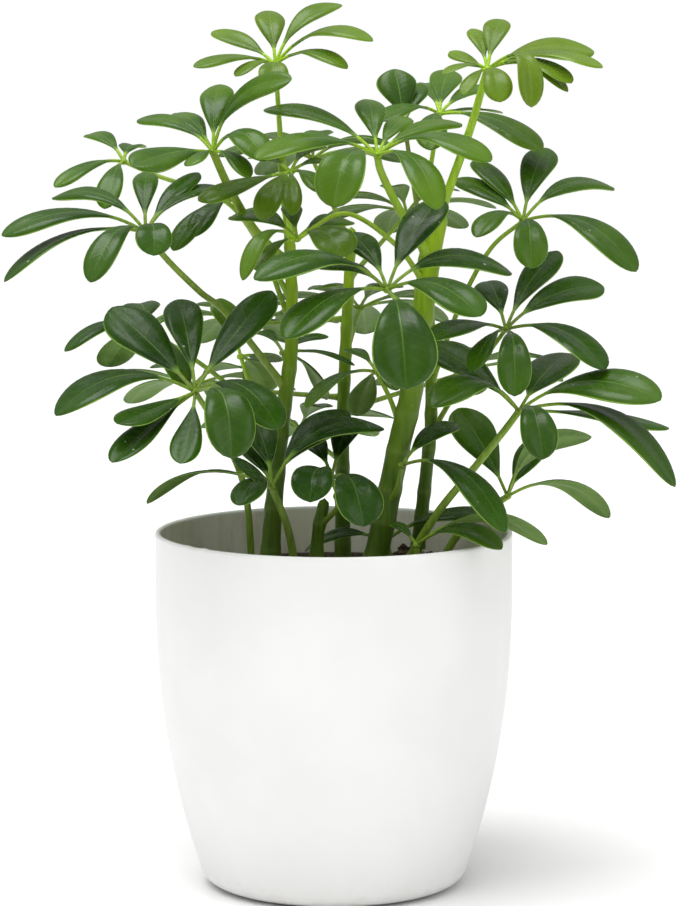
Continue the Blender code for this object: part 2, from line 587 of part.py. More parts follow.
def make_leaves():
    for name, (root, passes, hub, blades) in LEAVES.items():
        make_leaf(name, root, passes, hub, blades, Vector((0, -1, 0)))
    for name, (root, hub, count, length, first, inner, outer) in BACK_LEAVES.items():
        blades = even_blades(count, length, first, inner, outer)
        make_leaf(name, root, (), hub, blades, Vector((0, 1, 0)))


def main():
    for old in list(bpy.data.objects):
        bpy.data.objects.remove(old)
    make_cachepot()
    make_nursery_pot()
    make_soil()
    make_stems()
    make_leaves()


main()
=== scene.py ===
import math
import random

import bpy
import numpy as np
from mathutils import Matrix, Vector, noise


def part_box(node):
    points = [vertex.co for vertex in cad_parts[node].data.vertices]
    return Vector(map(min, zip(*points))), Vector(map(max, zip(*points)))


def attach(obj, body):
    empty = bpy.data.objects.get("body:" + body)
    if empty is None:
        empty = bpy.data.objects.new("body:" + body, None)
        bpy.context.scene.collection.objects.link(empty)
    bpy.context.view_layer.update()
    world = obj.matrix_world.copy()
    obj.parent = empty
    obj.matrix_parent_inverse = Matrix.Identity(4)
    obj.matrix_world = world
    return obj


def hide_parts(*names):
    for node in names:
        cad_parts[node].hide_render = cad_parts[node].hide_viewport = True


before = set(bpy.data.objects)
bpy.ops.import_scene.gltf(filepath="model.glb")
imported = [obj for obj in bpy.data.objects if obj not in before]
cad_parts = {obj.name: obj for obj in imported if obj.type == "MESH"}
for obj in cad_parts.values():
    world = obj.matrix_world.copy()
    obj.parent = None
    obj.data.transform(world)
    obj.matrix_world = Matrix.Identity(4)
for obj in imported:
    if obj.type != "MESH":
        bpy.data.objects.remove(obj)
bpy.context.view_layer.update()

MM = 0.001

# ------------------------------------------------- sizes, from the frame and the part's own constants

POT_LOW, POT_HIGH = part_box("cachepot")
POT_HEIGHT = POT_HIGH.z
POT_RADIUS = POT_HIGH.x
POT_WALL = 2.5 * MM
POT_FLOOR = 3.0 * MM
POT_TAPER = 22.6 * MM
POT_TAPER_TOP = 135 * MM
POT_TAPER_POWER = 2.24
POT_FOOT_RADIUS = 48 * MM
POT_EDGE_HEIGHT = 8 * MM
POT_SIDES = 168
RIM_FLECKS = math.radians(-139)  # where they stand round the rim
RIM_FLECK_SPAN = math.radians(6)

INNER_LOW, INNER_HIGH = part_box("nursery_pot")
INNER_BASE_RADIUS = 50 * MM
INNER_RIM = 2.4 * MM
INNER_TOP_RADIUS = INNER_HIGH.x - INNER_RIM
INNER_HEIGHT = INNER_HIGH.z - INNER_LOW.z
INNER_WALL = 1.4 * MM
INNER_FLOOR = 1.8 * MM
INNER_RIM_HEIGHT = 7 * MM
INNER_SIDES = 120

SOIL_EDGE_HEIGHT = 134 * MM
SOIL_MOUND = 6 * MM
SOIL_SIDES = 150
SOIL_ROWS = 46
CRUMBS = 620
CRUMB_SIDES = 6
CRUMB_RINGS = ((-0.9, 0.35), (-0.2, 1.0), (0.5, 0.85), (0.95, 0.3))  # (height, width) over its size
HEAP_X = 38 * MM  # where soil is heaped round the right-hand stem
HEAP_Y = 12 * MM
HEAP_REACH = 24 * MM
HEAP_RISE = 11 * MM
ROOT_DEPTH = 8 * MM  # how far stems and stalks reach into the soil

STEM_SIDES = 20
STEM_STEP = 1.6 * MM  # spacing of the mesh rings along a stem
STALK_SIDES = 12
HUB_RADIUS = 1.9 * MM

BLADE_BOW = 0.12
BLADE_CREST = 0.5
HANGING_PULL = 1.7  # how sharply a blade that comes forward turns down
HANGING_FOLD = 0.16  # how much deeper it is folded
HANGING_REACH = 1.12  # above 1 puts its widest place nearer the tip
BLADE_WIDTH = 0.34
BLADE_ROLL = 16
BLADE_THICKNESS = 0.7 * MM
STALKLET_SHARE = 0.20
STALKLET_RADIUS = 0.75 * MM
BLADE_COLUMNS = 7  # mesh columns on each side of the midrib
BLADE_ROWS = 17
STALKLET_ROWS = 5

FLOOR_REACH = 6.0
ROOM_SIDE = 0.20  # glow of the white room's walls on the plant; the camera sees it plain white
ROOM_TOP = 0.66  # glow of its ceiling
LIGHT_TARGET = (0, 0, 0.22)
# name: (place, size, power) of the softboxes
SOFTBOXES = {
    "key": ((-0.3, 0.1, 2.0), 1.1, 17),
    "front": ((-1.7, -1.5, 1.3), 1.8, 6.3),
    "fill": ((1.8, -1.3, 1.2), 1.8, 10.5),
}
SUN_POWER = 2.2
SUN_ANGLE = math.radians(60)
SUN_TURN = (math.radians(12), math.radians(-8), 0)
CAMERA_PLACE = (0.0025, -1.6, 0.3953)
CAMERA_DIP = 0.1247  # how far it looks down, in radians
CAMERA_LENS = 143.5

# ---------------------------------------------------------------- stems and leaves, as in the part's source

# name: (radius at the soil, radius at the top, points from the soil upwards), in millimetres
STEMS = {
    "stem_main": (5.3, 4.7, ((17, -12, 138), (22, -12, 165), (29, -10, 200), (34, -8, 221),
                             (40, -5, 263), (43, 0, 285), (47, 5, 303))),
    "stem_left": (4.4, 1.8, ((-29, 6, 138), (-27, 8, 170), (-23, 11, 210), (-19, 14, 243),
                             (-20, 18, 290), (-24, 18, 330))),
    "stem_right": (3.2, 2.2, ((37, 20, 138), (42, 22, 185), (44, 25, 215), (42, 31, 288))),
    "stem_back": (3.6, 2.2, ((4, 45, 138), (4, 50, 200), (6, 56, 250), (8, 60, 292))),
    "stem_short": (3.0, 2.6, ((-8, -10, 138), (-7, -11, 160), (-4, -12, 176))),
}

# name: stalk root, points that the stalk passes, hub, leaflets, in millimetres and degrees.
# The root is (stem, height) or ("soil", x, y). A leaflet is (azimuth, rise, length) and, where they differ
# from the usual, its width over its length, its roll, its bow and how far along it bends. Azimuth 0 is +X
# and 90 is +Y; rise is the angle above the level.
LEAVES = {
    "leaf_01": (("stem_left", 322), (), (-26, 15, 367), (
        (39, 35, 46, 0.27, 24, 0.15), (-29, 12, 50, 0.32, 16, 0.18), (-41, -2, 42, 0.27, 16, 0.15),
        (98, 41, 36, 0.38), (137, 20, 42, 0.28, 34, 0.06), (-143, -1, 44, 0.25, 20, 0.1),
        (-128, -10, 28, 0.3), (-90, -18, 32, 0.42, 16, 0.16, 0.7))),
    "leaf_02": (("stem_left", 277), ((-35, 11, 293), (-46, 3, 312)), (-53, -10, 329), (
        (87, 40, 45, 0.34, 10), (-25, 40, 50, 0.31, 52, 0.2), (139, 16, 48, 0.27, 22, 0.11),
        (118, 24, 40, 0.32, 16, 0.1), (-132, -5, 50, 0.36, 38, 0.06), (-52, -4, 38, 0.42, 34, 0.28),
        (-60, -17, 34, 0.27), (-111, -10, 28, 0.34, -20, 0.1))),
    "leaf_03": (("stem_left", 262), ((-43, 19, 301), (-62, 24, 311), (-80, 30, 317)), (-95, 35, 323), (
        (124, 19, 34, 0.34, 20, 0.13), (-135, -14, 42, 0.28, 20, 0.1), (-101, -29, 40, 0.3, 16, 0.14),
        (81, 10, 30, 0.42, 12))),
    "leaf_04": (("stem_left", 222), ((-47, 4, 256), (-59, -13, 268), (-73, -23, 283)), (-82, -25, 295), (
        (-156, 0, 66, 0.26, 18, 0.14), (-151, -16, 70, 0.21, 6, 0.14), (-116, -21, 52, 0.28, 16, 0.22),
        (-82, -11, 40, 0.4, 16, 0.18, 0.7), (148, 15, 52, 0.29, 22, 0.17), (92, 37, 41, 0.28),
        (56, 32, 46, 0.26, 20, 0.05), (43, 22, 48, 0.26, 15))),
    "leaf_05": (("stem_left", 250), ((-34, 34, 288),), (-45, 45, 305), (
        (-131, -27, 46, 0.28, 16, 0.14), (-121, -23, 38, 0.32, 16, 0.14))),
    "leaf_06": (("stem_main", 282), ((30, -12, 302), (21, -18, 320)), (19, -20, 328), (
        (148, 18, 62, 0.26, 18, 0.11), (-147, 0, 62, 0.33, 18, 0.13), (-110, -20, 58, 0.37, 16, 0.2, 0.7),
        (96, 34, 42, 0.33, 12), (65, 26, 36, 0.32, 16, 0.1), (39, 15, 50, 0.3, 20, 0.1),
        (-37, -1, 60, 0.3, 14, 0.16), (-61, -22, 56, 0.28, 8, 0.2))),
    "leaf_07": (("stem_left", 288), ((-20, 6, 306),), (-19, 0, 320), (
        (-149, -14, 48, 0.24, 34, 0.02), (-112, -31, 38, 0.33, 16, 0.14), (-88, -31, 34, 0.26, 16, 0.14),
        (-61, -16, 30, 0.34, 16, 0.14), (63, 16, 34, 0.3), (126, 9, 32, 0.3, 16, 0.1), (46, 3, 30, 0.32))),
    "leaf_08": (("stem_main", 298), ((53, 8, 317), (61, 9, 340)), (68, 10, 365), (
        (75, 40, 34, 0.36, 12, 0.1), (103, 36, 30, 0.3, 12, 0.1), (130, 17, 26, 0.32, 30, 0.02),
        (-141, -4, 26, 0.28, 14), (-119, -25, 26, 0.28), (24, 8, 54, 0.37, 28, 0.1), (-29, 1, 56, 0.3, 10),
        (-39, -7, 46, 0.3, 10, 0.14), (-83, -21, 38, 0.34, 16, 0.17, 0.66),
        (-66, -20, 46, 0.26, 10, 0.28, 0.72), (-33, -13, 42, 0.24, 4, 0.18))),
    "leaf_09": (("stem_right", 278), ((43, 42, 312),), (48, 50, 344), (
        (99, 19, 40, 0.3, 16, 0.1), (81, 27, 42, 0.36, 16, 0.04), (52, 14, 46, 0.34, 14, 0.08),
        (-34, -16, 56, 0.34, 22, 0.11), (-98, -22, 40, 0.36, 16, 0.14), (-136, -4, 38, 0.34, 16, 0.14),
        (49, -1, 46, 0.18, 10, 0.04))),
    "leaf_10": (("stem_right", 222), ((53, 18, 250), (61, 11, 270), (71, 7, 287)), (84, 5, 298), (
        (71, 38, 50, 0.32, 14, 0.08), (36, 14, 54, 0.31, 22, 0.17), (-39, -18, 64, 0.31, 12, 0.18),
        (-88, -22, 48, 0.32, 16, 0.18, 0.66), (-125, -8, 38, 0.34, 16, 0.18), (116, 29, 52, 0.25, 20, 0.06),
        (129, 21, 48, 0.28, 25, 0.06))),
    "leaf_11": (("stem_right", 200), ((56, 14, 222), (69, 1, 240)), (76, -10, 251), (
        (57, 35, 56, 0.28, 14, 0.05), (34, 17, 57, 0.33, 34, 0.09), (-44, -14, 58, 0.36, 14, 0.14),
        (-88, -27, 54, 0.28, 16, 0.17, 0.6), (-134, -2, 50, 0.34, 20, 0.09), (101, 26, 42, 0.36),
        (-114, -21, 42, 0.28, -14))),
    "leaf_12": (("soil", 27, -26), ((45, -29, 171), (60, -30, 190), (75, -31, 209)), (81, -30, 217), (
        (63, 22, 56, 0.4, 16, 0.05), (-29, 7, 68, 0.37, 32, 0.15), (-29, -21, 80, 0.28, 6, 0.2),
        (-81, -17, 52, 0.31, 16, 0.2, 0.7), (132, 24, 64, 0.31, 30, 0.05), (-139, 6, 52, 0.36, 22, 0.24),
        (18, -8, 72, 0.26, 8, 0.03))),
    "leaf_13": (("soil", 48, 26), ((56, 29, 153), (66, 31, 162)), (79, 30, 171), (
        (-24, 36, 50, 0.32, -44, 0.2), (24, -14, 54, 0.29, -25, 0.2), (51, 45, 36, 0.44, 16, 0.06),
        (132, 49, 50, 0.42, 24, 0.06))),
    "leaf_14": (("stem_main", 242), ((31, -34, 262),), (23, -55, 272), (
        (58, 40, 58, 0.33, 16, 0.08), (116, 27, 48), (130, 9, 44, 0.3, 14), (-152, 6, 64, 0.33, 18, 0.19),
        (-136, -16, 62, 0.34, 14, 0.13), (-82, -34, 66, 0.42, 16, 0.19, 0.62), (24, 5, 60, 0.35, 24, 0.18),
        (-46, -8, 56, 0.4, 24, 0.16))),
    "leaf_15": (("stem_main", 270), ((27, -15, 289), (5, -23, 303)), (-16, -25, 292), (
        (-50, -10, 34, 0.56, 34, 0.2), (44, 10, 34, 0.42, 26), (136, 11, 42, 0.4, 26, 0.1),
        (-126, -22, 42, 0.22, 16, 0.26), (-130, -24, 30, 0.3, 16, 0.14), (97, 26, 30, 0.32))),
    "leaf_16": (("soil", -36, -18), ((-39, -22, 180), (-48, -30, 205)), (-60, -45, 227), (
        (137, 33, 62, 0.38, 32, 0.03), (102, 39, 58, 0.3, 16, 0.08), (51, 38, 66, 0.29, 26, 0.02),
        (-152, -6, 66, 0.32, 24, 0.17), (-130, -11, 50, 0.33, 24, 0), (-128, -25, 60, 0.25, 16, 0.02),
        (-97, -33, 48, 0.28, 16, 0), (-73, -20, 64, 0.35, 16, 0.22, 0.72),
        (-48, -12, 56, 0.37, 16, 0.21))),
    "leaf_17": (("stem_left", 203), ((-55, 28, 228),), (-84, 40, 246), (
        (-140, -8, 48, 0.25, 12, 0.16), (124, -27, 44, 0.4, -24, 0.1), (103, 15, 34, 0.55, 10, 0.14),
        (-65, -29, 46, 0.3, -20), (55, 5, 38, 0.3, 12, 0.1))),
    "leaf_18": (("soil", -16, -32), ((-20, -34, 165),), (-27, -35, 184), (
        (156, -10, 62, 0.24, -4, 0.17), (-110, -4, 40, 0.36, 16, 0.18), (-123, 23, 26, 0.75, 70, 0.1),
        (51, 29, 60, 0.3, 24, 0.09), (35, 20, 64, 0.27, 20, 0.2), (105, 34, 50, 0.34, 16, 0.1),
        (108, 22, 42, 0.3, 16, 0.06))),
    "leaf_19": (("stem_short", 163), ((2, -18, 174),), (-1, -16, 186), (
        (-102, -7, 44, 0.42, 16, 0.18, 0.72), (-75, -15, 56, 0.38, 16, 0.18, 0.72), (75, 32, 42),
        (113, 21, 40))),
    "leaf_20": (("stem_main", 172), ((28, -20, 182),), (30, -22, 192), (
        (-51, -18, 72, 0.24, 10, 0.2), (51, 21, 42, 0.34, 14, 0.1))),
    "leaf_21": (("stem_left", 207), ((-20, 22, 222),), (-23, 27, 237), (
        (37, 14, 26, 0.34, 10, 0.08), (0, -10, 33, 0.24, 6, 0.1), (39, -43, 34, 0.5, 16, 0.14),
        (113, 9, 36, 0.28, 12))),
    "leaf_29": (("soil", 37, -37), (), (36, -40, 159), (
        (-30, 2, 42, 0.34, 24, 0.19), (15, -2, 60, 0.27, -25, 0.21), (120, 21, 22, 0.3, 16, 0.1))),
    "leaf_30": (("stem_main", 205), ((25, 2, 219),), (19, 12, 230), (
        (108, -40, 36, 0.38, 16, 0.14), (-132, -15, 48, 0.22, 4), (115, 12, 34, 0.26, 10, 0.1),
        (66, 12, 34, 0.28, 12, 0.1), (-72, -11, 29, 0.3, 12))),
    "leaf_31": (("stem_left", 186), ((-33, 25, 206),), (-42, 20, 236), (
        (117, 51, 32, 0.5, -20, 0.05), (68, -34, 34, 0.5, -30, 0.1), (56, -10, 28, 0.5, -24, 0.06))),
    "leaf_32": (("stem_right", 270), ((38, 40, 300),), (32, 42, 339), (
        (106, 57, 30, 0.62, 16, 0.06), (68, 41, 28, 0.4, 16, 0.08), (115, 4, 34, 0.34, 16, 0.1))),
    "leaf_33": (("soil", 26, 8), (), (23, 6, 154), (
        (157, -10, 40, 0.32, 24, 0.15), (0, 11, 54, 0.26, 24, 0.14), (122, 31, 40, 0.5, 16, 0.06))),
}

# radius of the leaf stalks that are thicker or thinner than the rest
THICK_STALKS = {"leaf_02": 2.1, "leaf_04": 1.6, "leaf_06": 2.0, "leaf_08": 2.0, "leaf_16": 1.6}

# name: stalk root, hub, number of leaflets, their length, azimuth of the first, rise of the inner and the
# outer ones
BACK_LEAVES = {
    "leaf_22": (("stem_back", 284), (-10, 82, 322), 7, 46, 20, 20, -14),
    "leaf_23": (("stem_back", 268), (34, 94, 296), 7, 44, 50, 22, -16),
    "leaf_24": (("stem_back", 250), (-42, 92, 244), 6, 46, 0, 20, -18),
    "leaf_25": (("stem_back", 232), (12, 108, 250), 7, 52, 35, 18, -18),
    "leaf_26": (("stem_back", 214), (-66, 80, 216), 6, 50, 10, 18, -18),
    "leaf_27": (("stem_back", 208), (62, 88, 222), 6, 52, 25, 18, -18),
    "leaf_28": (("stem_back", 184), (-16, 98, 194), 6, 50, 45, 20, -14),
}

# How young a leaf is: 0 is old and dark, 1 is new and yellow-green.
YOUTH = {
    "leaf_01": 0.80, "leaf_02": 0.48, "leaf_03": 0.38, "leaf_04": 0.20, "leaf_05": 0.30, "leaf_06": 0.52,
    "leaf_07": 0.72, "leaf_08": 0.95, "leaf_09": 0.55, "leaf_10": 0.34, "leaf_11": 0.22, "leaf_12": 0.24,
    "leaf_13": 0.30, "leaf_14": 0.18, "leaf_15": 0.66, "leaf_16": 0.14, "leaf_17": 0.22, "leaf_18": 0.12,
    "leaf_19": 0.02, "leaf_20": 0.16, "leaf_21": 0.25, "leaf_29": 0.30, "leaf_30": 0.45, "leaf_31": 0.60,
    "leaf_32": 0.24, "leaf_33": 0.04,
}
BACK_YOUTH = 0.3

# ---------------------------------------------------------------- shader nodes


class Shader:
    """A material built by short calls. A value may be a number, a colour or a socket."""

    def __init__(self, name):
        self.material = bpy.data.materials.new(name)
        self.material.use_nodes = True
        self.tree = self.material.node_tree
        self.surface = self.tree.nodes["Principled BSDF"]
        self.place = self.node("ShaderNodeTexCoord").outputs["Object"]

    def feed(self, socket, value):
        if isinstance(value, bpy.types.NodeSocket):
            self.tree.links.new(value, socket)
        elif isinstance(value, tuple) and len(value) == 3 and socket.type == "RGBA":
            socket.default_value = (*value, 1.0)
        else:
            socket.default_value = value

    def node(self, kind, inputs=None, **settings):
        made = self.tree.nodes.new(kind)
        for name, value in settings.items():
            setattr(made, name, value)
        for name, value in (inputs or {}).items():
            self.feed(made.inputs[name], value)
        return made

    def set(self, **values):
        """Sets the surface's sockets, with _ for a space in a name."""
        for name, value in values.items():
            self.feed(self.surface.inputs[name.replace("_", " ")], value)

    def math(self, operation, *values):
        made = self.node("ShaderNodeMath", operation=operation)
        for index, value in enumerate(values):
            self.feed(made.inputs[index], value)
        return made.outputs[0]

    def span(self, value, low, high, to_low=0.0, to_high=1.0):
        """The value eased from to_low at low to to_high at high."""
        made = self.node("ShaderNodeMapRange", {
            "Value": value, "From Min": low, "From Max": high, "To Min": to_low, "To Max": to_high},
            interpolation_type="SMOOTHSTEP")
        return made.outputs["Result"]

    def mix(self, share, first, second):
        made = self.node("ShaderNodeMix", data_type="RGBA")
        self.feed(made.inputs["Factor"], share)
        self.feed(made.inputs[6], first)
        self.feed(made.inputs[7], second)
        return made.outputs[2]

    def noise(self, scale, detail=3.0, roughness=0.55, place=None):
        made = self.node("ShaderNodeTexNoise", {
            "Vector": place or self.place, "Scale": scale, "Detail": detail, "Roughness": roughness})
        return made.outputs["Fac"]

    def cells(self, scale, place=None, feature="F1"):
        inputs = {"Vector": place or self.place, "Scale": scale}
        made = self.node("ShaderNodeTexVoronoi", inputs, feature=feature)
        return made.outputs["Distance"], made.outputs.get("Color")

    def parts(self, vector):
        return self.node("ShaderNodeSeparateXYZ", {"Vector": vector}).outputs

    def stretched(self, x, y, z):
        """The place, scaled on each axis."""
        return self.node("ShaderNodeMapping", {"Vector": self.place, "Scale": (x, y, z)}).outputs[0]

    def attribute(self, name):
        found = self.node("ShaderNodeAttribute", attribute_name=name, attribute_type="GEOMETRY")
        return self.parts(found.outputs["Vector"])

    def bump(self, height, distance, strength=1.0, below=None):
        made = self.node("ShaderNodeBump", {"Height": height, "Distance": distance, "Strength": strength})
        if below:
            self.feed(made.inputs["Normal"], below)
        return made.outputs["Normal"]


# ---------------------------------------------------------------- materials


def pot_material():
    """Satin off-white moulded plastic: grain, faint flow marks, scuffs and a little dust at the foot."""
    s = Shader("pot_satin_white")
    grain = s.noise(2600, 2.0)
    flow = s.noise(1.0, 3.0, place=s.stretched(60, 60, 5))
    cloud = s.noise(18, 3.0)
    scuff = s.span(s.noise(1.0, 4.0, 0.7, s.stretched(900, 900, 90)), 0.70, 0.80)
    patch = s.span(s.noise(22, 2.0), 0.56, 0.68)
    scuffs = s.math("MULTIPLY", scuff, patch)
    height = s.parts(s.place)[2]
    dust = s.math("MULTIPLY", s.span(height, 14 * MM, 1 * MM), s.span(s.noise(160, 4.0), 0.4, 0.7))
    tone = s.mix(s.span(cloud, 0.35, 0.65), (0.765, 0.765, 0.752), (0.795, 0.795, 0.784))
    tone = s.mix(s.math("MULTIPLY", s.span(flow, 0.4, 0.7), 0.35), tone, (0.770, 0.768, 0.756))
    tone = s.mix(s.math("MULTIPLY", scuffs, 0.35), tone, (0.62, 0.61, 0.58))
    tone = s.mix(s.math("MULTIPLY", dust, 0.25), tone, (0.55, 0.52, 0.47))
    roughness = s.span(s.math("ADD", flow, s.math("MULTIPLY", scuffs, 0.4)), 0.35, 0.9, 0.34, 0.52)
    fine = s.bump(grain, 0.05 * MM, 0.5)
    s.set(Base_Color=tone, Roughness=roughness, Normal=s.bump(flow, 0.12 * MM, 0.35, fine))
    s.set(IOR=1.47)
    return s.material


def pot_inner_material():
    """The unpolished inside of the pot, with upright flow marks; its olive tint and darker upright
    olive-brown streaks are painted reflection of the foliage.
    """
    s = Shader("pot_inner_grey")
    flow = s.noise(1.0, 3.0, place=s.stretched(70, 70, 4))
    painted_reflection = s.span(s.noise(1.0, 5.0, 0.65, s.stretched(120, 120, 30)), 0.45, 0.75)
    # painted reflection: olive tones streaked upright along the flow noise, standing in for light bounced
    # off the leaves
    tone = s.mix(s.span(flow, 0.35, 0.65), (0.790, 0.765, 0.640), (0.920, 0.900, 0.810))
    # painted reflection: darker olive-brown upright streaks
    tone = s.mix(s.math("MULTIPLY", painted_reflection, 0.35), tone, (0.42, 0.39, 0.29))
    s.set(Base_Color=tone, Roughness=s.span(flow, 0.3, 0.7, 0.30, 0.46))
    s.set(Normal=s.bump(flow, 0.15 * MM, 0.4), IOR=1.47)
    return s.material


def nursery_material():
    """Thin brown nursery plastic, dusty with peat."""
    s = Shader("nursery_brown")
    dust = s.span(s.noise(220, 5.0, 0.65), 0.45, 0.7)
    flow = s.noise(1.0, 3.0, place=s.stretched(240, 240, 30))
    tone = s.mix(s.span(flow, 0.4, 0.65), (0.034, 0.022, 0.016), (0.060, 0.040, 0.030))
    tone = s.mix(s.math("MULTIPLY", dust, 0.55), tone, (0.10, 0.066, 0.045))
    s.set(Base_Color=tone, Roughness=s.span(dust, 0.0, 1.0, 0.40, 0.85))
    s.set(Normal=s.bump(dust, 0.15 * MM, 0.5, s.bump(flow, 0.1 * MM, 0.5)))
    return s.material


def peat_material(name, dark, light):
    """Moist peat: dark crumbs with fibres and paler dry spots."""
    s = Shader(name)
    crumb, _ = s.cells(520)
    fibre = s.noise(1.0, 5.0, 0.7, s.stretched(300, 900, 500))
    damp = s.span(s.noise(60, 3.0), 0.35, 0.65)
    tone = s.mix(s.span(fibre, 0.35, 0.70), dark, light)
    tone = s.mix(s.math("MULTIPLY", damp, 0.45), tone, tuple(0.5 * part for part in dark))
    s.set(Base_Color=tone, Roughness=s.span(damp, 0.0, 1.0, 0.95, 0.70))
    s.set(Normal=s.bump(crumb, 0.8 * MM, 0.7, s.bump(fibre, 0.4 * MM, 0.8)))
    s.set(Specular_IOR_Level=0.3)
    return s.material


def perlite_material():
    """White porous grains with brown stains."""
    s = Shader("perlite")
    pores, _ = s.cells(1500)
    tone = s.mix(s.span(s.noise(500, 3.0), 0.45, 0.7), (0.72, 0.70, 0.64), (0.34, 0.27, 0.20))
    s.set(Base_Color=tone, Roughness=0.9, Normal=s.bump(pores, 0.3 * MM, 0.8))
    return s.material


def stem_material():
    """Smooth green bark, yellower towards the top, with faint streaks, pale pores and thin leaf scars."""
    s = Shader("stem_bark")
    ring, low, _ = s.attribute("stem")
    streak = s.noise(1.0, 4.0, 0.6, s.stretched(420, 420, 30))
    blotch = s.noise(70, 3.0)
    height = s.parts(s.place)[2]
    lower = s.mix(s.span(streak, 0.35, 0.68), (0.052, 0.118, 0.004), (0.092, 0.175, 0.006))
    upper = s.mix(s.span(streak, 0.35, 0.68), (0.215, 0.370, 0.006), (0.300, 0.460, 0.012))
    tone = s.mix(s.span(height, 0.18, 0.30), lower, upper)
    tone = s.mix(s.math("MULTIPLY", s.span(blotch, 0.5, 0.7), 0.25), tone, (0.110, 0.190, 0.022))
    tone = s.mix(s.math("MULTIPLY", low, s.span(streak, 0.3, 0.7, 0.03, 0.22)), tone, (0.100, 0.110, 0.035))
    spot, _ = s.cells(430, s.stretched(1.0, 1.0, 0.45))
    pores = s.math("MULTIPLY", s.span(spot, 0.20, 0.10), s.span(s.noise(150, 1.0), 0.56, 0.66))
    tone = s.mix(s.math("MULTIPLY", pores, 0.35), tone, (0.30, 0.36, 0.14))
    tone = s.mix(s.math("MULTIPLY", ring, 0.35), tone, (0.190, 0.280, 0.050))
    fine = s.bump(streak, 0.15 * MM, 0.4)
    s.set(Base_Color=tone, Roughness=s.span(streak, 0.3, 0.7, 0.34, 0.46))
    s.set(Normal=s.bump(pores, 0.10 * MM, 0.4, fine), Specular_IOR_Level=0.25)
    return s.material


def stalk_material():
    """Leaf stalks: smooth yellow-green with fine streaks, darker where they are old."""
    s = Shader("stalk_skin")
    youth, tint, _ = s.attribute("growth")
    streak = s.noise(1.0, 3.0, 0.6, s.stretched(700, 700, 60))
    old = s.mix(s.span(streak, 0.35, 0.65), (0.125, 0.215, 0.018), (0.190, 0.295, 0.032))
    new = s.mix(s.span(streak, 0.35, 0.65), (0.260, 0.450, 0.016), (0.350, 0.540, 0.030))
    tone = s.mix(s.span(youth, 0.1, 0.7), old, new)
    tone = s.mix(s.math("MULTIPLY", s.span(tint, 0.7, 1.0), 0.25), tone, (0.130, 0.110, 0.035))
    s.set(Base_Color=tone, Roughness=0.42, Normal=s.bump(streak, 0.12 * MM, 0.4))
    s.set(Specular_IOR_Level=0.3)
    return s.material


def blade_pattern(s):
    """The leaflet's own coordinates and its masks: |across|, along, midrib, side veins and margin."""
    across, along, _ = s.attribute("blade")
    side = s.math("ABSOLUTE", across)
    wobble = s.math("MULTIPLY", s.math("SUBTRACT", s.noise(160, 2.0), 0.5), 0.10)
    course = s.math("SUBTRACT", along, s.math("MULTIPLY", side, 0.16))
    course = s.math("ADD", course, s.math("MULTIPLY", wobble, 0.35))
    beat = s.math("FRACT", s.math("MULTIPLY", course, 9.0))
    veins = s.span(s.math("ABSOLUTE", s.math("SUBTRACT", beat, 0.5)), 0.16, 0.0)
    veins = s.math("MULTIPLY", veins, s.span(side, 0.95, 0.55))
    midrib = s.span(side, s.span(along, 0.0, 1.0, 0.075, 0.030), 0.012)
    midrib = s.math("MULTIPLY", midrib, s.span(along, 0.25, 0.95, 1.0, 0.35))
    margin = s.span(s.math("ADD", side, s.math("MULTIPLY", wobble, 0.25)), 0.945, 0.980)
    return side, along, midrib, veins, margin


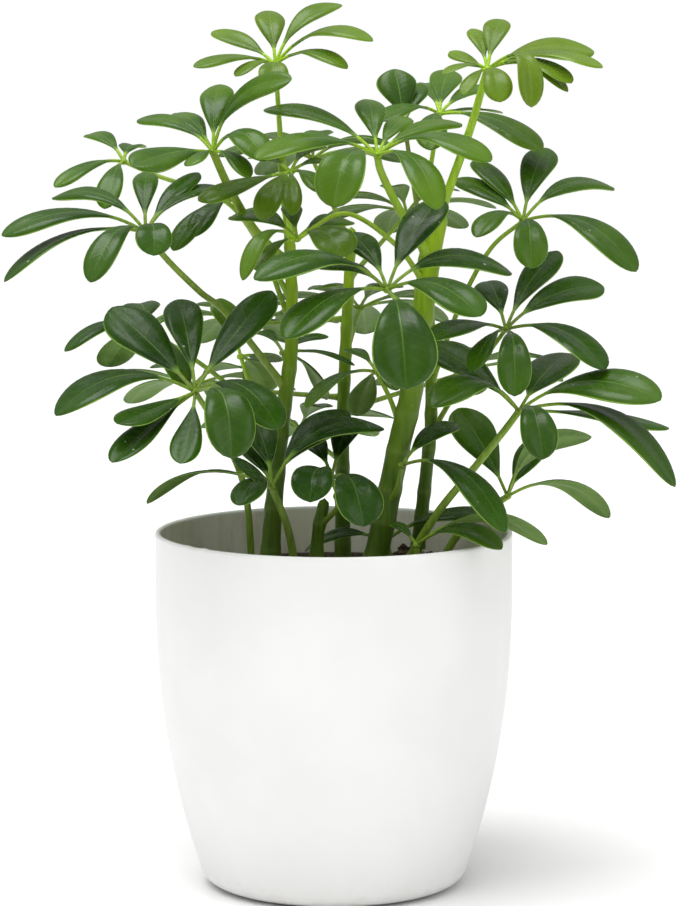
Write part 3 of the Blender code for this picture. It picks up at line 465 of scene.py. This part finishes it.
def upper_material():
    """Leathery upper side: green by age, thin pale midrib and margin, faint veins, a few dried drops, and a
    painted glow of brighter green towards the tip for light shining through the blade.
    """
    s = Shader("leaf_upper")
    side, along, midrib, veins, margin = blade_pattern(s)
    youth, tint, _ = s.attribute("growth")
    patch = s.noise(55, 4.0, 0.6)
    fine = s.noise(420, 3.0, 0.6)
    old = s.mix(s.span(patch, 0.35, 0.65), (0.008, 0.032, 0.001), (0.016, 0.051, 0.002))
    middle = s.mix(s.span(patch, 0.35, 0.65), (0.031, 0.086, 0.003), (0.050, 0.120, 0.004))
    new = s.mix(s.span(patch, 0.35, 0.65), (0.078, 0.142, 0.006), (0.116, 0.188, 0.010))
    tone = s.mix(s.span(youth, 0.05, 0.55), old, middle)
    tone = s.mix(s.span(youth, 0.5, 1.0), tone, new)
    # painted light: a brighter, more saturated green towards the tip, standing in for light shining through
    # the blade
    painted_glow_tone = s.mix(s.span(youth, 0.05, 0.80), (0.028, 0.092, 0.002), (0.125, 0.228, 0.006))
    outer = s.math("MULTIPLY", s.span(along, 0.35, 1.0), s.span(tint, 0.0, 1.0, 0.25, 0.70))
    tone = s.mix(outer, tone, painted_glow_tone)
    tone = s.mix(s.math("MULTIPLY", veins, 0.05), tone, (0.10, 0.24, 0.03))
    tone = s.mix(s.math("MULTIPLY", s.span(fine, 0.5, 0.75), 0.08), tone, (0.08, 0.17, 0.03))
    tone = s.mix(s.math("MULTIPLY", midrib, 0.32), tone, (0.19, 0.36, 0.06))
    tone = s.mix(s.math("MULTIPLY", margin, 0.75), tone, (0.26, 0.44, 0.06))
    tone = s.mix(s.span(along, 0.10, 0.0), tone, (0.15, 0.28, 0.03))
    spot, colour = s.cells(260)
    pick = s.math("GREATER_THAN", s.parts(colour)[0], 0.965)
    drop = s.math("MULTIPLY", s.span(s.math("ADD", spot, s.math("MULTIPLY", fine, 0.2)), 0.30, 0.20), pick)
    drop = s.math("MULTIPLY", drop, s.span(youth, 0.55, 0.2))
    tone = s.mix(s.math("MULTIPLY", drop, 0.55), tone, (0.46, 0.52, 0.42))
    film = s.span(s.noise(90, 5.0, 0.65), 0.42, 0.72)
    roughness = s.math("ADD", s.span(film, 0.0, 1.0, 0.24, 0.37), s.math("MULTIPLY", drop, 0.3))
    relief = s.math("ADD", s.math("MULTIPLY", veins, -0.25), s.math("MULTIPLY", midrib, -0.8))
    normal = s.bump(relief, 0.20 * MM, 0.5)
    normal = s.bump(patch, 0.9 * MM, 0.30, normal)
    normal = s.bump(fine, 0.08 * MM, 0.35, normal)
    s.set(Base_Color=tone, Roughness=roughness, Normal=normal)
    s.set(Specular_IOR_Level=0.27)
    return s.material


def under_material():
    """Matt olive underside with a raised midrib and faint veins."""
    s = Shader("leaf_under")
    side, along, midrib, veins, margin = blade_pattern(s)
    youth, _, _ = s.attribute("growth")
    patch = s.noise(80, 4.0, 0.6)
    net, _ = s.cells(700, feature="DISTANCE_TO_EDGE")
    old = s.mix(s.span(patch, 0.35, 0.65), (0.085, 0.165, 0.030), (0.115, 0.205, 0.042))
    new = s.mix(s.span(patch, 0.35, 0.65), (0.160, 0.290, 0.045), (0.210, 0.350, 0.065))
    tone = s.mix(s.span(youth, 0.1, 0.9), old, new)
    tone = s.mix(s.math("MULTIPLY", veins, 0.15), tone, (0.20, 0.32, 0.09))
    tone = s.mix(s.math("MULTIPLY", midrib, 0.7), tone, (0.27, 0.40, 0.11))
    tone = s.mix(s.math("MULTIPLY", margin, 0.5), tone, (0.28, 0.40, 0.10))
    tone = s.mix(s.span(along, 0.10, 0.0), tone, (0.17, 0.30, 0.05))
    relief = s.math("ADD", s.math("MULTIPLY", veins, 0.6), s.span(net, 0.12, 0.0, 0.0, 0.2))
    s.set(Base_Color=tone, Roughness=s.span(patch, 0.3, 0.7, 0.50, 0.62))
    s.set(Normal=s.bump(relief, 0.20 * MM, 0.5), Specular_IOR_Level=0.3)
    return s.material


# ---------------------------------------------------------------- mesh helpers


def finished(name, points, faces, materials, node, slots=None, attributes=None):
    """A smooth mesh object from arrays, which rides on the part and stands for its CAD node."""
    mesh = bpy.data.meshes.new(name)
    mesh.from_pydata(np.asarray(points).tolist(), [], faces)
    for each in materials:
        mesh.materials.append(each)
    if slots is not None:
        mesh.polygons.foreach_set("material_index", slots)
    for label, values in (attributes or {}).items():
        made = mesh.attributes.new(label, "FLOAT_VECTOR", "POINT")
        made.data.foreach_set("vector", np.asarray(values, np.float32).ravel())
    mesh.shade_smooth()
    mesh.update()
    piece = bpy.data.objects.new(name, mesh)
    bpy.context.scene.collection.objects.link(piece)
    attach(piece, "root")
    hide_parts(node)
    return piece


def ring_faces(rings, sides, first=0):
    """Faces between successive rings of points, with a cap at each end, turned outwards."""
    faces = []
    for level in range(rings - 1):
        low = first + level * sides
        for side in range(sides):
            turn = (side + 1) % sides
            faces.append((low + side, low + turn, low + sides + turn, low + sides + side))
    faces.append(tuple(first + side for side in reversed(range(sides))))
    last = first + (rings - 1) * sides
    faces.append(tuple(last + side for side in range(sides)))
    return faces


def row_faces(rows, sides):
    """Faces between rows of point numbers; a row that repeats one number is a single point."""
    faces = []
    for low, high in zip(rows, rows[1:]):
        for side in range(sides):
            turn = (side + 1) % sides
            faces.append(tuple(dict.fromkeys((low[side], low[turn], high[turn], high[side]))))
    return faces


def unit(vectors):
    return vectors / np.linalg.norm(vectors, axis=-1, keepdims=True)


def curve_through(points, steps):
    """A smooth Catmull-Rom path through the points, with that many steps between two of them."""
    points = np.asarray(points, float)
    ends = np.vstack([points[0] * 2 - points[1], points, points[-1] * 2 - points[-2]])
    t = (np.arange(steps) / steps)[:, None]
    path = []
    for before, start, stop, after in zip(ends, ends[1:], ends[2:], ends[3:]):
        square = before * 2 - start * 5 + stop * 4 - after
        cube = start * 3 - before - stop * 3 + after
        path.append(0.5 * (start * 2 + (stop - before) * t + square * t ** 2 + cube * t ** 3))
    return np.vstack([*path, points[-1:]])


def evenly(path, step):
    """The path resampled at nearly equal steps."""
    lengths = np.concatenate([[0], np.cumsum(np.linalg.norm(np.diff(path, axis=0), axis=1))])
    places = np.linspace(0, lengths[-1], max(4, round(lengths[-1] / step)) + 1)
    return np.stack([np.interp(places, lengths, path[:, axis]) for axis in range(3)], 1), places


def tube(path, radii, sides):
    """Points of a round bar along a path, one ring after another."""
    along = unit(np.gradient(path, axis=0))
    across = unit(np.cross(along[0], (0.0, 1.0, 0.0)))
    angles = math.tau * np.arange(sides) / sides
    rings = []
    for point, ahead, radius in zip(path, along, radii):
        across = unit(across - ahead * (across @ ahead))
        other = np.cross(ahead, across)
        turn = np.cos(angles)[:, None] * across + np.sin(angles)[:, None] * other
        rings.append(point + turn * np.reshape(radius, (-1, 1)))
    return np.vstack(rings)


def turned(profile, sides):
    """Points and faces of a profile of (radius, height) turned round Z; a radius of 0 is one point."""
    points = []
    rows = []
    for radius, height in profile:
        start = len(points)
        count = 1 if radius == 0 else sides
        rows.append([start] * sides if radius == 0 else list(range(start, start + sides)))
        for side in range(count):
            angle = math.tau * side / sides
            points.append((radius * math.cos(angle), radius * math.sin(angle), height))
    return points, row_faces(rows, sides)


# ---------------------------------------------------------------- pots and soil


def pot_radius(height):
    """Outer radius of the cachepot at a height: upright at the top, tapering ever faster to the foot."""
    below = max(0.0, POT_TAPER_TOP - height) / POT_TAPER_TOP
    return POT_RADIUS - POT_TAPER * below ** POT_TAPER_POWER


def flecked(point):
    """A point of the pot's rim, raised where small torn flecks of moulding skin stand up on it."""
    x, y, z = point
    aside = (math.atan2(y, x) - RIM_FLECKS) / RIM_FLECK_SPAN
    if z < POT_HEIGHT - POT_WALL / 2 or abs(aside) > 1:
        return point
    rise = max(0.0, math.sin(9 * aside + 1.0) + 0.6 * math.sin(23 * aside))
    return x, y, z + 0.8 * MM * rise * (1 - aside ** 2)


def make_cachepot():
    edge = pot_radius(POT_EDGE_HEIGHT)
    outer = [(POT_FOOT_RADIUS, 0)]
    for step in range(1, 11):
        angle = math.radians(9 * step)
        outer.append((POT_FOOT_RADIUS + (edge - POT_FOOT_RADIUS) * math.sin(angle),
                      POT_EDGE_HEIGHT * (1 - math.cos(angle))))
    levels = np.linspace(POT_EDGE_HEIGHT, POT_HEIGHT - 2.2 * MM, 40)[1:]
    outer += [(pot_radius(height), height) for height in levels]
    lip = POT_WALL / 2
    for step in range(9):
        turn = math.radians(22.5 * step)
        outer.append((POT_RADIUS - lip + lip * math.cos(turn), POT_HEIGHT - lip + lip * math.sin(turn)))
    inner = [(pot_radius(height) - POT_WALL, height) for height in reversed(levels)]
    inner.append((edge - POT_WALL, POT_EDGE_HEIGHT + POT_FLOOR))
    inner.append((POT_FOOT_RADIUS + 6 * MM, POT_FLOOR + 1.2 * MM))
    inner.append((POT_FOOT_RADIUS, POT_FLOOR))
    profile = [(0, 0), (0.5 * POT_FOOT_RADIUS, 0), *outer, *inner, (0, POT_FLOOR)]
    points, faces = turned(profile, POT_SIDES)
    points = [flecked(point) for point in points]
    slots = [int(index // POT_SIDES > len(outer)) for index in range(len(faces))]
    pot = finished("cachepot_fine", points, faces, [pot_material(), pot_inner_material()],
                   "cachepot", slots)
    pot.data.set_sharp_from_angle(angle=math.radians(50))


def inner_radius(height):
    """Outer radius of the nursery pot at a height above its own underside."""
    return INNER_BASE_RADIUS + (INNER_TOP_RADIUS - INNER_BASE_RADIUS) * height / INNER_HEIGHT


def make_nursery_pot():
    foot = INNER_LOW.z
    top = foot + INNER_HEIGHT
    rim_low = INNER_HEIGHT - INNER_RIM_HEIGHT
    levels = np.linspace(0, rim_low, 14)
    outer = []
    for height in levels:
        wave = 0.25 * MM * math.sin(height / (2.5 * MM))
        outer.append((inner_radius(height) + wave, foot + height))
    outer[0] = (INNER_BASE_RADIUS - 1.0 * MM, foot)
    outer.insert(1, (INNER_BASE_RADIUS, foot + 1.0 * MM))
    rim = [(inner_radius(rim_low) + INNER_RIM - 0.5 * MM, foot + rim_low),
           (inner_radius(rim_low) + INNER_RIM, foot + rim_low + 0.5 * MM)]
    bead = 1.3 * MM
    for step in range(7):
        turn = math.radians(30 * step)
        rim.append((INNER_TOP_RADIUS + INNER_RIM - bead + bead * math.cos(turn),
                    top - bead + bead * math.sin(turn)))
    inner = [(INNER_TOP_RADIUS - INNER_WALL, top - 2.4 * MM),
             (INNER_BASE_RADIUS - INNER_WALL, foot + INNER_FLOOR)]
    profile = [(0, foot), *outer, *rim, *inner, (0, foot + INNER_FLOOR)]
    points, faces = turned(profile, INNER_SIDES)
    pot = finished("nursery_pot_fine", points, faces, [nursery_material()],
                   "nursery_pot")
    pot.data.set_sharp_from_angle(angle=math.radians(50))


def soil_height(x, y):
    """Height of the soil surface: a low mound with gentle humps."""
    reach = math.hypot(x, y) / INNER_TOP_RADIUS
    humps = math.sin(x / (11 * MM)) * math.cos(y / (13 * MM) + 0.6)
    return SOIL_EDGE_HEIGHT + SOIL_MOUND * (1 - reach ** 2) + 1.2 * MM * humps * (1 - reach)


def rough_soil_height(x, y):
    """The soil surface with its lumps and crumbs, and the heap round the right-hand stem."""
    place = Vector((x, y, 0.0))
    lumps = noise.fractal(place * 140, 0.8, 2.1, 4)
    aside = math.hypot(x - HEAP_X, y - HEAP_Y) / HEAP_REACH
    return soil_height(x, y) + 0.9 * MM * lumps + HEAP_RISE * math.exp(-aside ** 2)


def crumb(draw, centre, size, flat):
    """Points of one angular crumb, in rings from its underside up."""
    turn = draw.uniform(0, math.tau)
    stretch = draw.uniform(0.7, 1.5)
    points = []
    for height, width in CRUMB_RINGS:
        for side in range(CRUMB_SIDES):
            angle = math.tau * side / CRUMB_SIDES
            reach = size * width * draw.uniform(0.7, 1.2)
            x, y = reach * math.cos(angle) * stretch, reach * math.sin(angle)
            points.append((centre[0] + x * math.cos(turn) - y * math.sin(turn),
                           centre[1] + x * math.sin(turn) + y * math.cos(turn),
                           centre[2] + size * flat * height * draw.uniform(0.8, 1.2)))
    return points


def make_soil():
    """The soil body with a rough top, and crumbs of peat, bark and perlite sunk into it."""
    foot = INNER_LOW.z + INNER_FLOOR + 0.3 * MM
    side_slope = (INNER_TOP_RADIUS - INNER_BASE_RADIUS) / INNER_HEIGHT
    base = INNER_BASE_RADIUS - INNER_WALL - 0.6 * MM
    edge = base + side_slope * (SOIL_EDGE_HEIGHT - foot)
    points = [(0, 0, foot)]
    rows = [[0] * SOIL_SIDES]
    for radius in (base, *np.linspace(edge, 0.03 * edge, SOIL_ROWS)):
        rows.append(list(range(len(points), len(points) + SOIL_SIDES)))
        for side in range(SOIL_SIDES):
            angle = math.tau * side / SOIL_SIDES
            x, y = radius * math.cos(angle), radius * math.sin(angle)
            points.append((x, y, foot if len(rows) == 2 else rough_soil_height(x, y)))
    rows.append([len(points)] * SOIL_SIDES)
    points.append((0, 0, rough_soil_height(0, 0)))
    faces = row_faces(rows, SOIL_SIDES)
    slots = [0] * len(faces)
    draw = random.Random(7)
    for _ in range(CRUMBS):
        radius = (edge - 2 * MM) * math.sqrt(draw.random())
        angle = draw.uniform(0, math.tau)
        x, y = radius * math.cos(angle), radius * math.sin(angle)
        size = draw.choice((0.7, 0.9, 1.2, 1.2, 1.6, 2.4)) * MM
        kind = draw.choices((0, 1, 2), (60, 32, 8))[0]
        first = len(points)
        flat = 0.45 if kind == 1 else 0.75
        points += crumb(draw, (x, y, rough_soil_height(x, y) + 0.25 * size), size, flat)
        added = ring_faces(len(CRUMB_RINGS), CRUMB_SIDES, first)
        faces += added
        slots += [kind] * len(added)
    materials = [peat_material("peat", (0.026, 0.016, 0.011), (0.085, 0.054, 0.036)),
                 peat_material("bark_bits", (0.090, 0.052, 0.030), (0.210, 0.135, 0.085)),
                 perlite_material()]
    soil = finished("soil_fine", points, faces, materials, "soil", slots)
    soil.data.set_sharp_from_angle(angle=math.radians(35))


# ---------------------------------------------------------------- stems


def stem_points(name):
    """(points, soil height) of a stem: the points it passes, the first just above the soil."""
    above = np.array(STEMS[name][2], float) * MM
    start = soil_height(above[0, 0], above[0, 1])
    above[0, 2] = start + 2 * MM
    return above, start


def stem_path(name):
    """(path, radii) of a stem as in the part: from the soil through its points."""
    low, high, _ = STEMS[name]
    path = curve_through(stem_points(name)[0], 2)
    radii = np.linspace(low, high, len(path)) * MM
    return path, radii


def stem_at(name, height):
    """(axis point, radius) of a stem at a height."""
    path, radii = stem_path(name)
    centre = np.array([np.interp(height, path[:, 2], path[:, axis]) for axis in range(2)] + [height])
    return centre, float(np.interp(height, path[:, 2], radii))


def make_stem(name, bark, draw):
    """One stem with leaf scars and slight lumps, rounded at its tip."""
    low, high, _ = STEMS[name]
    above, start = stem_points(name)
    smooth = curve_through(above, 14)
    smooth = np.vstack([[smooth[0, 0], smooth[0, 1], start - ROOT_DEPTH], smooth])
    path, places = evenly(smooth, STEM_STEP)
    share = np.clip((path[:, 2] - start) / (above[-1, 2] - start), 0, 1)
    radii = (low + (high - low) * share) * MM
    radii *= 1 + 0.22 * np.exp(-np.maximum(path[:, 2] - start, 0) / (6 * MM))
    scars = np.zeros(len(path))
    place = ROOT_DEPTH + draw.uniform(8, 14) * MM
    while place < places[-1] - 6 * MM:
        scars = np.maximum(scars, np.exp(-((places - place) / (1.1 * MM)) ** 2))
        radii += 0.32 * MM * np.exp(-((places - place) / (2.6 * MM)) ** 2)
        place += draw.uniform(11, 21) * MM
    tip = places[-1] - places
    radii *= np.sqrt(np.clip(tip / (0.9 * high * MM), 0.0, 1.0)) * 0.97 + 0.03
    lumps = np.array([[noise.noise(Vector((place * 160, side * 1.3, low))) for side in range(STEM_SIDES)]
                      for place in places])
    lumps[:, -1] = (lumps[:, 0] + lumps[:, -2]) / 2
    radii = radii[:, None] * (1 + 0.035 * lumps)
    rings = tube(path, radii, STEM_SIDES)
    lower = np.clip(1 - (path[:, 2] - start) / (45 * MM), 0, 1)
    marks = np.stack([np.repeat(scars, STEM_SIDES), np.repeat(lower, STEM_SIDES), np.zeros(len(rings))], 1)
    finished(name + "_fine", rings, ring_faces(len(path), STEM_SIDES), [bark], name,
             attributes={"stem": marks})


# ---------------------------------------------------------------- leaves


def stalk_path(root, passes, hub):
    """The path of a leaf's stalk from inside its stem or the soil to its hub."""
    beyond = np.array([*passes, hub], float) * MM
    if root[0] == "soil":
        x, y = root[1] * MM, root[2] * MM
        start = soil_height(x, y)
        path = curve_through([(x, y, start + 3 * MM), *beyond], 10)
        return np.vstack([(x, y, start - ROOT_DEPTH), path])
    axis, radius = stem_at(root[0], root[1] * MM)
    outwards = unit(beyond[0] - axis)
    start = axis + outwards * 0.6 * radius
    return curve_through([start, *beyond], 12)


def outline(place):
    """Half-width of a blade as a share of its widest, from its base at 0 to its tip at 1."""
    shape = np.maximum(place, 0) ** 0.80 * np.maximum(1 - place ** 3.2, 0) ** 0.62
    return shape / 0.593


def leaflet(hub, outwards, draw, youth, azimuth, rise, length, width_share=BLADE_WIDTH,
            roll=BLADE_ROLL, bow=BLADE_BOW, bend=BLADE_CREST):
    """Points, blade coordinates and growth of one leaflet: its small stalk and its arched blade."""
    length = length * MM
    turn, lift = math.radians(azimuth), math.radians(rise)
    chord = np.array((math.cos(turn) * math.cos(lift), math.sin(turn) * math.cos(lift), math.sin(lift)))
    upper = unit(np.array((0.0, 0.0, 1.0)) - chord * chord[2])
    across = np.cross(chord, upper)
    if across @ outwards < 0:
        across = -across
    tilt = math.radians(roll) * abs(across @ outwards)
    across = across * math.cos(tilt) - upper * math.sin(tilt)
    if np.cross(chord, across) @ upper < 0:
        across = -across
    bow *= draw.uniform(0.95, 1.10)
    sway = draw.uniform(-0.04, 0.04) * length
    twist = math.radians(draw.uniform(-9, 9))
    hanging = bend > BLADE_CREST
    fold = draw.uniform(0.16, 0.32) + (HANGING_FOLD if hanging else 0)
    curl = draw.uniform(0.22, 0.38)
    wave = draw.uniform(0.02, 0.07)
    phase = draw.uniform(0, math.tau)
    lean = draw.uniform(-0.05, 0.05)
    tint = draw.random()

    rows = np.linspace(0, 1, BLADE_ROWS + 1)[1:]
    place = np.concatenate([np.zeros(STALKLET_ROWS), 1 - (1 - rows) ** 1.5])
    along = STALKLET_SHARE + (1 - STALKLET_SHARE) * place
    along[:STALKLET_ROWS] = np.linspace(0, STALKLET_SHARE, STALKLET_ROWS)
    t = along[:, None]
    tip = hub + chord * length
    crest = hub + chord * (bend * length) + upper * (2 * bow * length)
    pull = HANGING_PULL if hanging else 1.0
    shares = np.hstack([(1 - t) ** 2, 2 * pull * t * (1 - t), t ** 2])
    shares /= shares.sum(axis=1)[:, None]
    centre = shares @ np.array((hub, crest, tip)) + across * (sway * t * (1 - t) * 2)
    ahead = unit(np.gradient(centre, axis=0))
    side = unit(across - ahead * (ahead @ across)[:, None])
    up = np.cross(ahead, side)
    angle = (twist * (along - 0.3))[:, None]
    side, up = side * np.cos(angle) + up * np.sin(angle), up * np.cos(angle) - side * np.sin(angle)

    bladed = np.clip(place / 0.10, 0, 1) ** 0.7
    if hanging:
        walked = np.cumsum(np.linalg.norm(np.diff(centre, axis=0, prepend=centre[:1]), axis=1))
        base = walked[STALKLET_ROWS - 1]
        place = np.clip((walked - base) / (walked[-1] - base), 0, 1)
    reach = place ** HANGING_REACH if hanging else place
    narrowest = STALKLET_RADIUS * (1 - 0.85 * (place > 0.5))
    half = np.maximum(outline(reach) * width_share * length / 2, narrowest)
    half[-1] = 0.25 * MM
    thick = STALKLET_RADIUS * (1 - bladed) + 0.5 * BLADE_THICKNESS * bladed
    thick *= np.clip(1.25 - place, 0.25, 1)
    angles = math.pi * np.arange(4 * BLADE_COLUMNS) / (2 * BLADE_COLUMNS)
    u, v = np.cos(angles), np.sin(angles)
    crease = np.sqrt(u ** 2 + 0.012) - math.sqrt(0.012)
    ripple = np.sin(math.tau * 1.3 * along + phase)[:, None] * (u * np.abs(u))[None, :]
    cup = fold * crease - curl * u ** 4
    lift_off = bladed[:, None] * half[:, None] * (cup[None, :] + wave * ripple)
    rib = np.where(v < -0.5, np.exp(-(u / 0.16) ** 2), 0)[None, :]
    rib = rib * (bladed * (0.55 - 0.4 * place))[:, None] * MM
    height = lift_off + thick[:, None] * v[None, :] - rib
    spread = half[:, None] * (u[None, :] + lean * bladed[:, None] * (1 - u[None, :] ** 2))
    points = centre[:, None] + side[:, None] * spread[..., None] + up[:, None] * height[..., None]

    count = len(along) * len(u)
    own = np.zeros((len(along), len(u), 3))
    own[..., 0] = u
    own[..., 1] = place[:, None]
    age = np.clip(youth + draw.uniform(-0.07, 0.07), 0, 1)
    growth = np.tile((age, tint, draw.random()), (count, 1))
    return points.reshape(-1, 3), own.reshape(-1, 3), growth


def leaflet_faces(first):
    """(faces, slots) of one leaflet whose points start at first: 0 upper side, 1 underside, 2 stalk."""
    sides = 4 * BLADE_COLUMNS
    rings = STALKLET_ROWS + BLADE_ROWS
    faces = [tuple(face[::-1]) for face in ring_faces(rings, sides, first)]
    slots = []
    for level in range(rings - 1):
        for side in range(sides):
            slots.append(2 if level < STALKLET_ROWS - 1 else int(side >= 2 * BLADE_COLUMNS))
    return faces, slots + [2, 0]


def make_leaf(name, root, passes, hub, blades, outwards, youth, skins):
    """One palmate leaf: stalk, knob and leaflets in one piece."""
    draw = random.Random(name)
    thick = THICK_STALKS.get(name, 1.9 if root[0] == "soil" else 1.2) * MM
    path, places = evenly(stalk_path(root, passes, hub), 2.0 * MM)
    share = places / places[-1]
    radii = thick * (1.05 - 0.25 * share) * (1 + 0.55 * np.exp(-places / (3 * MM)))
    centre = np.array(hub, float) * MM
    parts = [tube(path, radii, STALK_SIDES)]
    faces = ring_faces(len(path), STALK_SIDES)
    knob_heights = np.sin(np.linspace(-math.pi / 2, math.pi / 2, 9))
    knob = centre + np.outer(knob_heights * HUB_RADIUS * 0.8, (0, 0, 1))
    knob_radii = HUB_RADIUS * np.sqrt(np.maximum(1 - knob_heights ** 2, 0.01))
    faces += ring_faces(len(knob), STALK_SIDES, len(parts[0]))
    parts.append(tube(knob, knob_radii, STALK_SIDES))
    slots = [2] * len(faces)
    count = len(parts[0]) + len(parts[1])
    own = [np.zeros((count, 3))]
    growth = [np.tile((youth, draw.random(), 0), (count, 1))]
    for blade in blades:
        points, coordinates, ages = leaflet(centre, outwards, draw, youth, *blade)
        added, kinds = leaflet_faces(count)
        faces += added
        slots += kinds
        parts.append(points)
        own.append(coordinates)
        growth.append(ages)
        count += len(points)
    finished(name + "_fine", np.vstack(parts), faces, skins, name, slots,
             {"blade": np.vstack(own), "growth": np.vstack(growth)})


def even_blades(count, length, first, inner_rise, outer_rise):
    """Leaflets evenly round a hub, rising towards the plant's middle and drooping away from it."""
    blades = []
    for index in range(count):
        azimuth = first + 360 * index / count
        outward = (1 + math.sin(math.radians(azimuth))) / 2
        rise = inner_rise + (outer_rise - inner_rise) * outward
        blades.append((azimuth, rise, length * (0.88 + 0.16 * outward)))
    return blades


def make_leaves():
    skins = [upper_material(), under_material(), stalk_material()]
    for name, (root, passes, hub, blades) in LEAVES.items():
        make_leaf(name, root, passes, hub, blades, np.array((0.0, -1.0, 0.0)), YOUTH[name], skins)
    for name, (root, hub, count, length, first, inner, outer) in BACK_LEAVES.items():
        blades = even_blades(count, length, first, inner, outer)
        make_leaf(name, root, (), hub, blades, np.array((0.0, 1.0, 0.0)), BACK_YOUTH, skins)


# ---------------------------------------------------------------- floor, light and camera


def area_light(name, place, target, size, power):
    lamp = bpy.data.lights.new(name, "AREA")
    lamp.shape = "SQUARE"
    lamp.size = size
    lamp.energy = power
    made = bpy.data.objects.new(name, lamp)
    made.location = place
    made.rotation_euler = (Vector(target) - Vector(place)).to_track_quat("-Z", "Y").to_euler()
    bpy.context.scene.collection.objects.link(made)


def make_floor():
    s = Shader("floor_pale")
    tone = s.mix(s.span(s.noise(3, 2.0), 0.4, 0.6), (0.89, 0.89, 0.888), (0.91, 0.91, 0.908))
    s.set(Base_Color=tone, Roughness=0.8)
    mesh = bpy.data.meshes.new("floor")
    corners = [(x * FLOOR_REACH, y * FLOOR_REACH, 0) for x, y in ((-1, -1), (1, -1), (1, 1), (-1, 1))]
    mesh.from_pydata(corners, [], [(0, 1, 2, 3)])
    mesh.materials.append(s.material)
    floor = bpy.data.objects.new("floor", mesh)
    floor.location.z = -0.2 * MM
    bpy.context.scene.collection.objects.link(floor)


def make_room():
    """The glow of a white room: dimmer from the sides than from above, and plain white to the camera."""
    world = bpy.data.worlds.new("studio")
    bpy.context.scene.world = world
    world.use_nodes = True
    nodes, links = world.node_tree.nodes, world.node_tree.links
    parts = nodes.new("ShaderNodeSeparateXYZ")
    links.new(nodes.new("ShaderNodeTexCoord").outputs["Generated"], parts.inputs[0])
    glow = nodes.new("ShaderNodeMapRange")
    glow.inputs["To Min"].default_value = ROOM_SIDE
    glow.inputs["To Max"].default_value = ROOM_TOP
    links.new(parts.outputs["Z"], glow.inputs["Value"])
    strength = nodes.new("ShaderNodeMapRange")
    strength.inputs["To Max"].default_value = 1.0
    links.new(glow.outputs["Result"], strength.inputs["To Min"])
    links.new(nodes.new("ShaderNodeLightPath").outputs["Is Camera Ray"], strength.inputs["Value"])
    links.new(strength.outputs["Result"], nodes["Background"].inputs["Strength"])
    nodes["Background"].inputs["Color"].default_value = (1.0, 1.0, 1.0, 1.0)


def make_lights():
    for name, (place, size, power) in SOFTBOXES.items():
        area_light(name, place, LIGHT_TARGET, size, power)
    sun = bpy.data.lights.new("overhead", "SUN")
    sun.energy = SUN_POWER
    sun.angle = SUN_ANGLE
    lamp = bpy.data.objects.new("overhead", sun)
    lamp.rotation_euler = SUN_TURN
    lamp.visible_glossy = False
    bpy.context.scene.collection.objects.link(lamp)
    bpy.context.scene.view_settings.view_transform = "Standard"


def make_camera():
    lens = bpy.data.cameras.new("camera")
    lens.lens = CAMERA_LENS
    lens.sensor_width = 36
    camera = bpy.data.objects.new("camera", lens)
    camera.location = CAMERA_PLACE
    camera.rotation_euler = (math.pi / 2 - CAMERA_DIP, 0, 0)
    bpy.context.scene.collection.objects.link(camera)
    bpy.context.scene.camera = camera


make_camera()
make_floor()
make_room()
make_lights()
make_cachepot()
make_nursery_pot()
make_soil()
stem_draw = random.Random(3)
bark = stem_material()
for stem in STEMS:
    make_stem(stem, bark, stem_draw)
make_leaves()
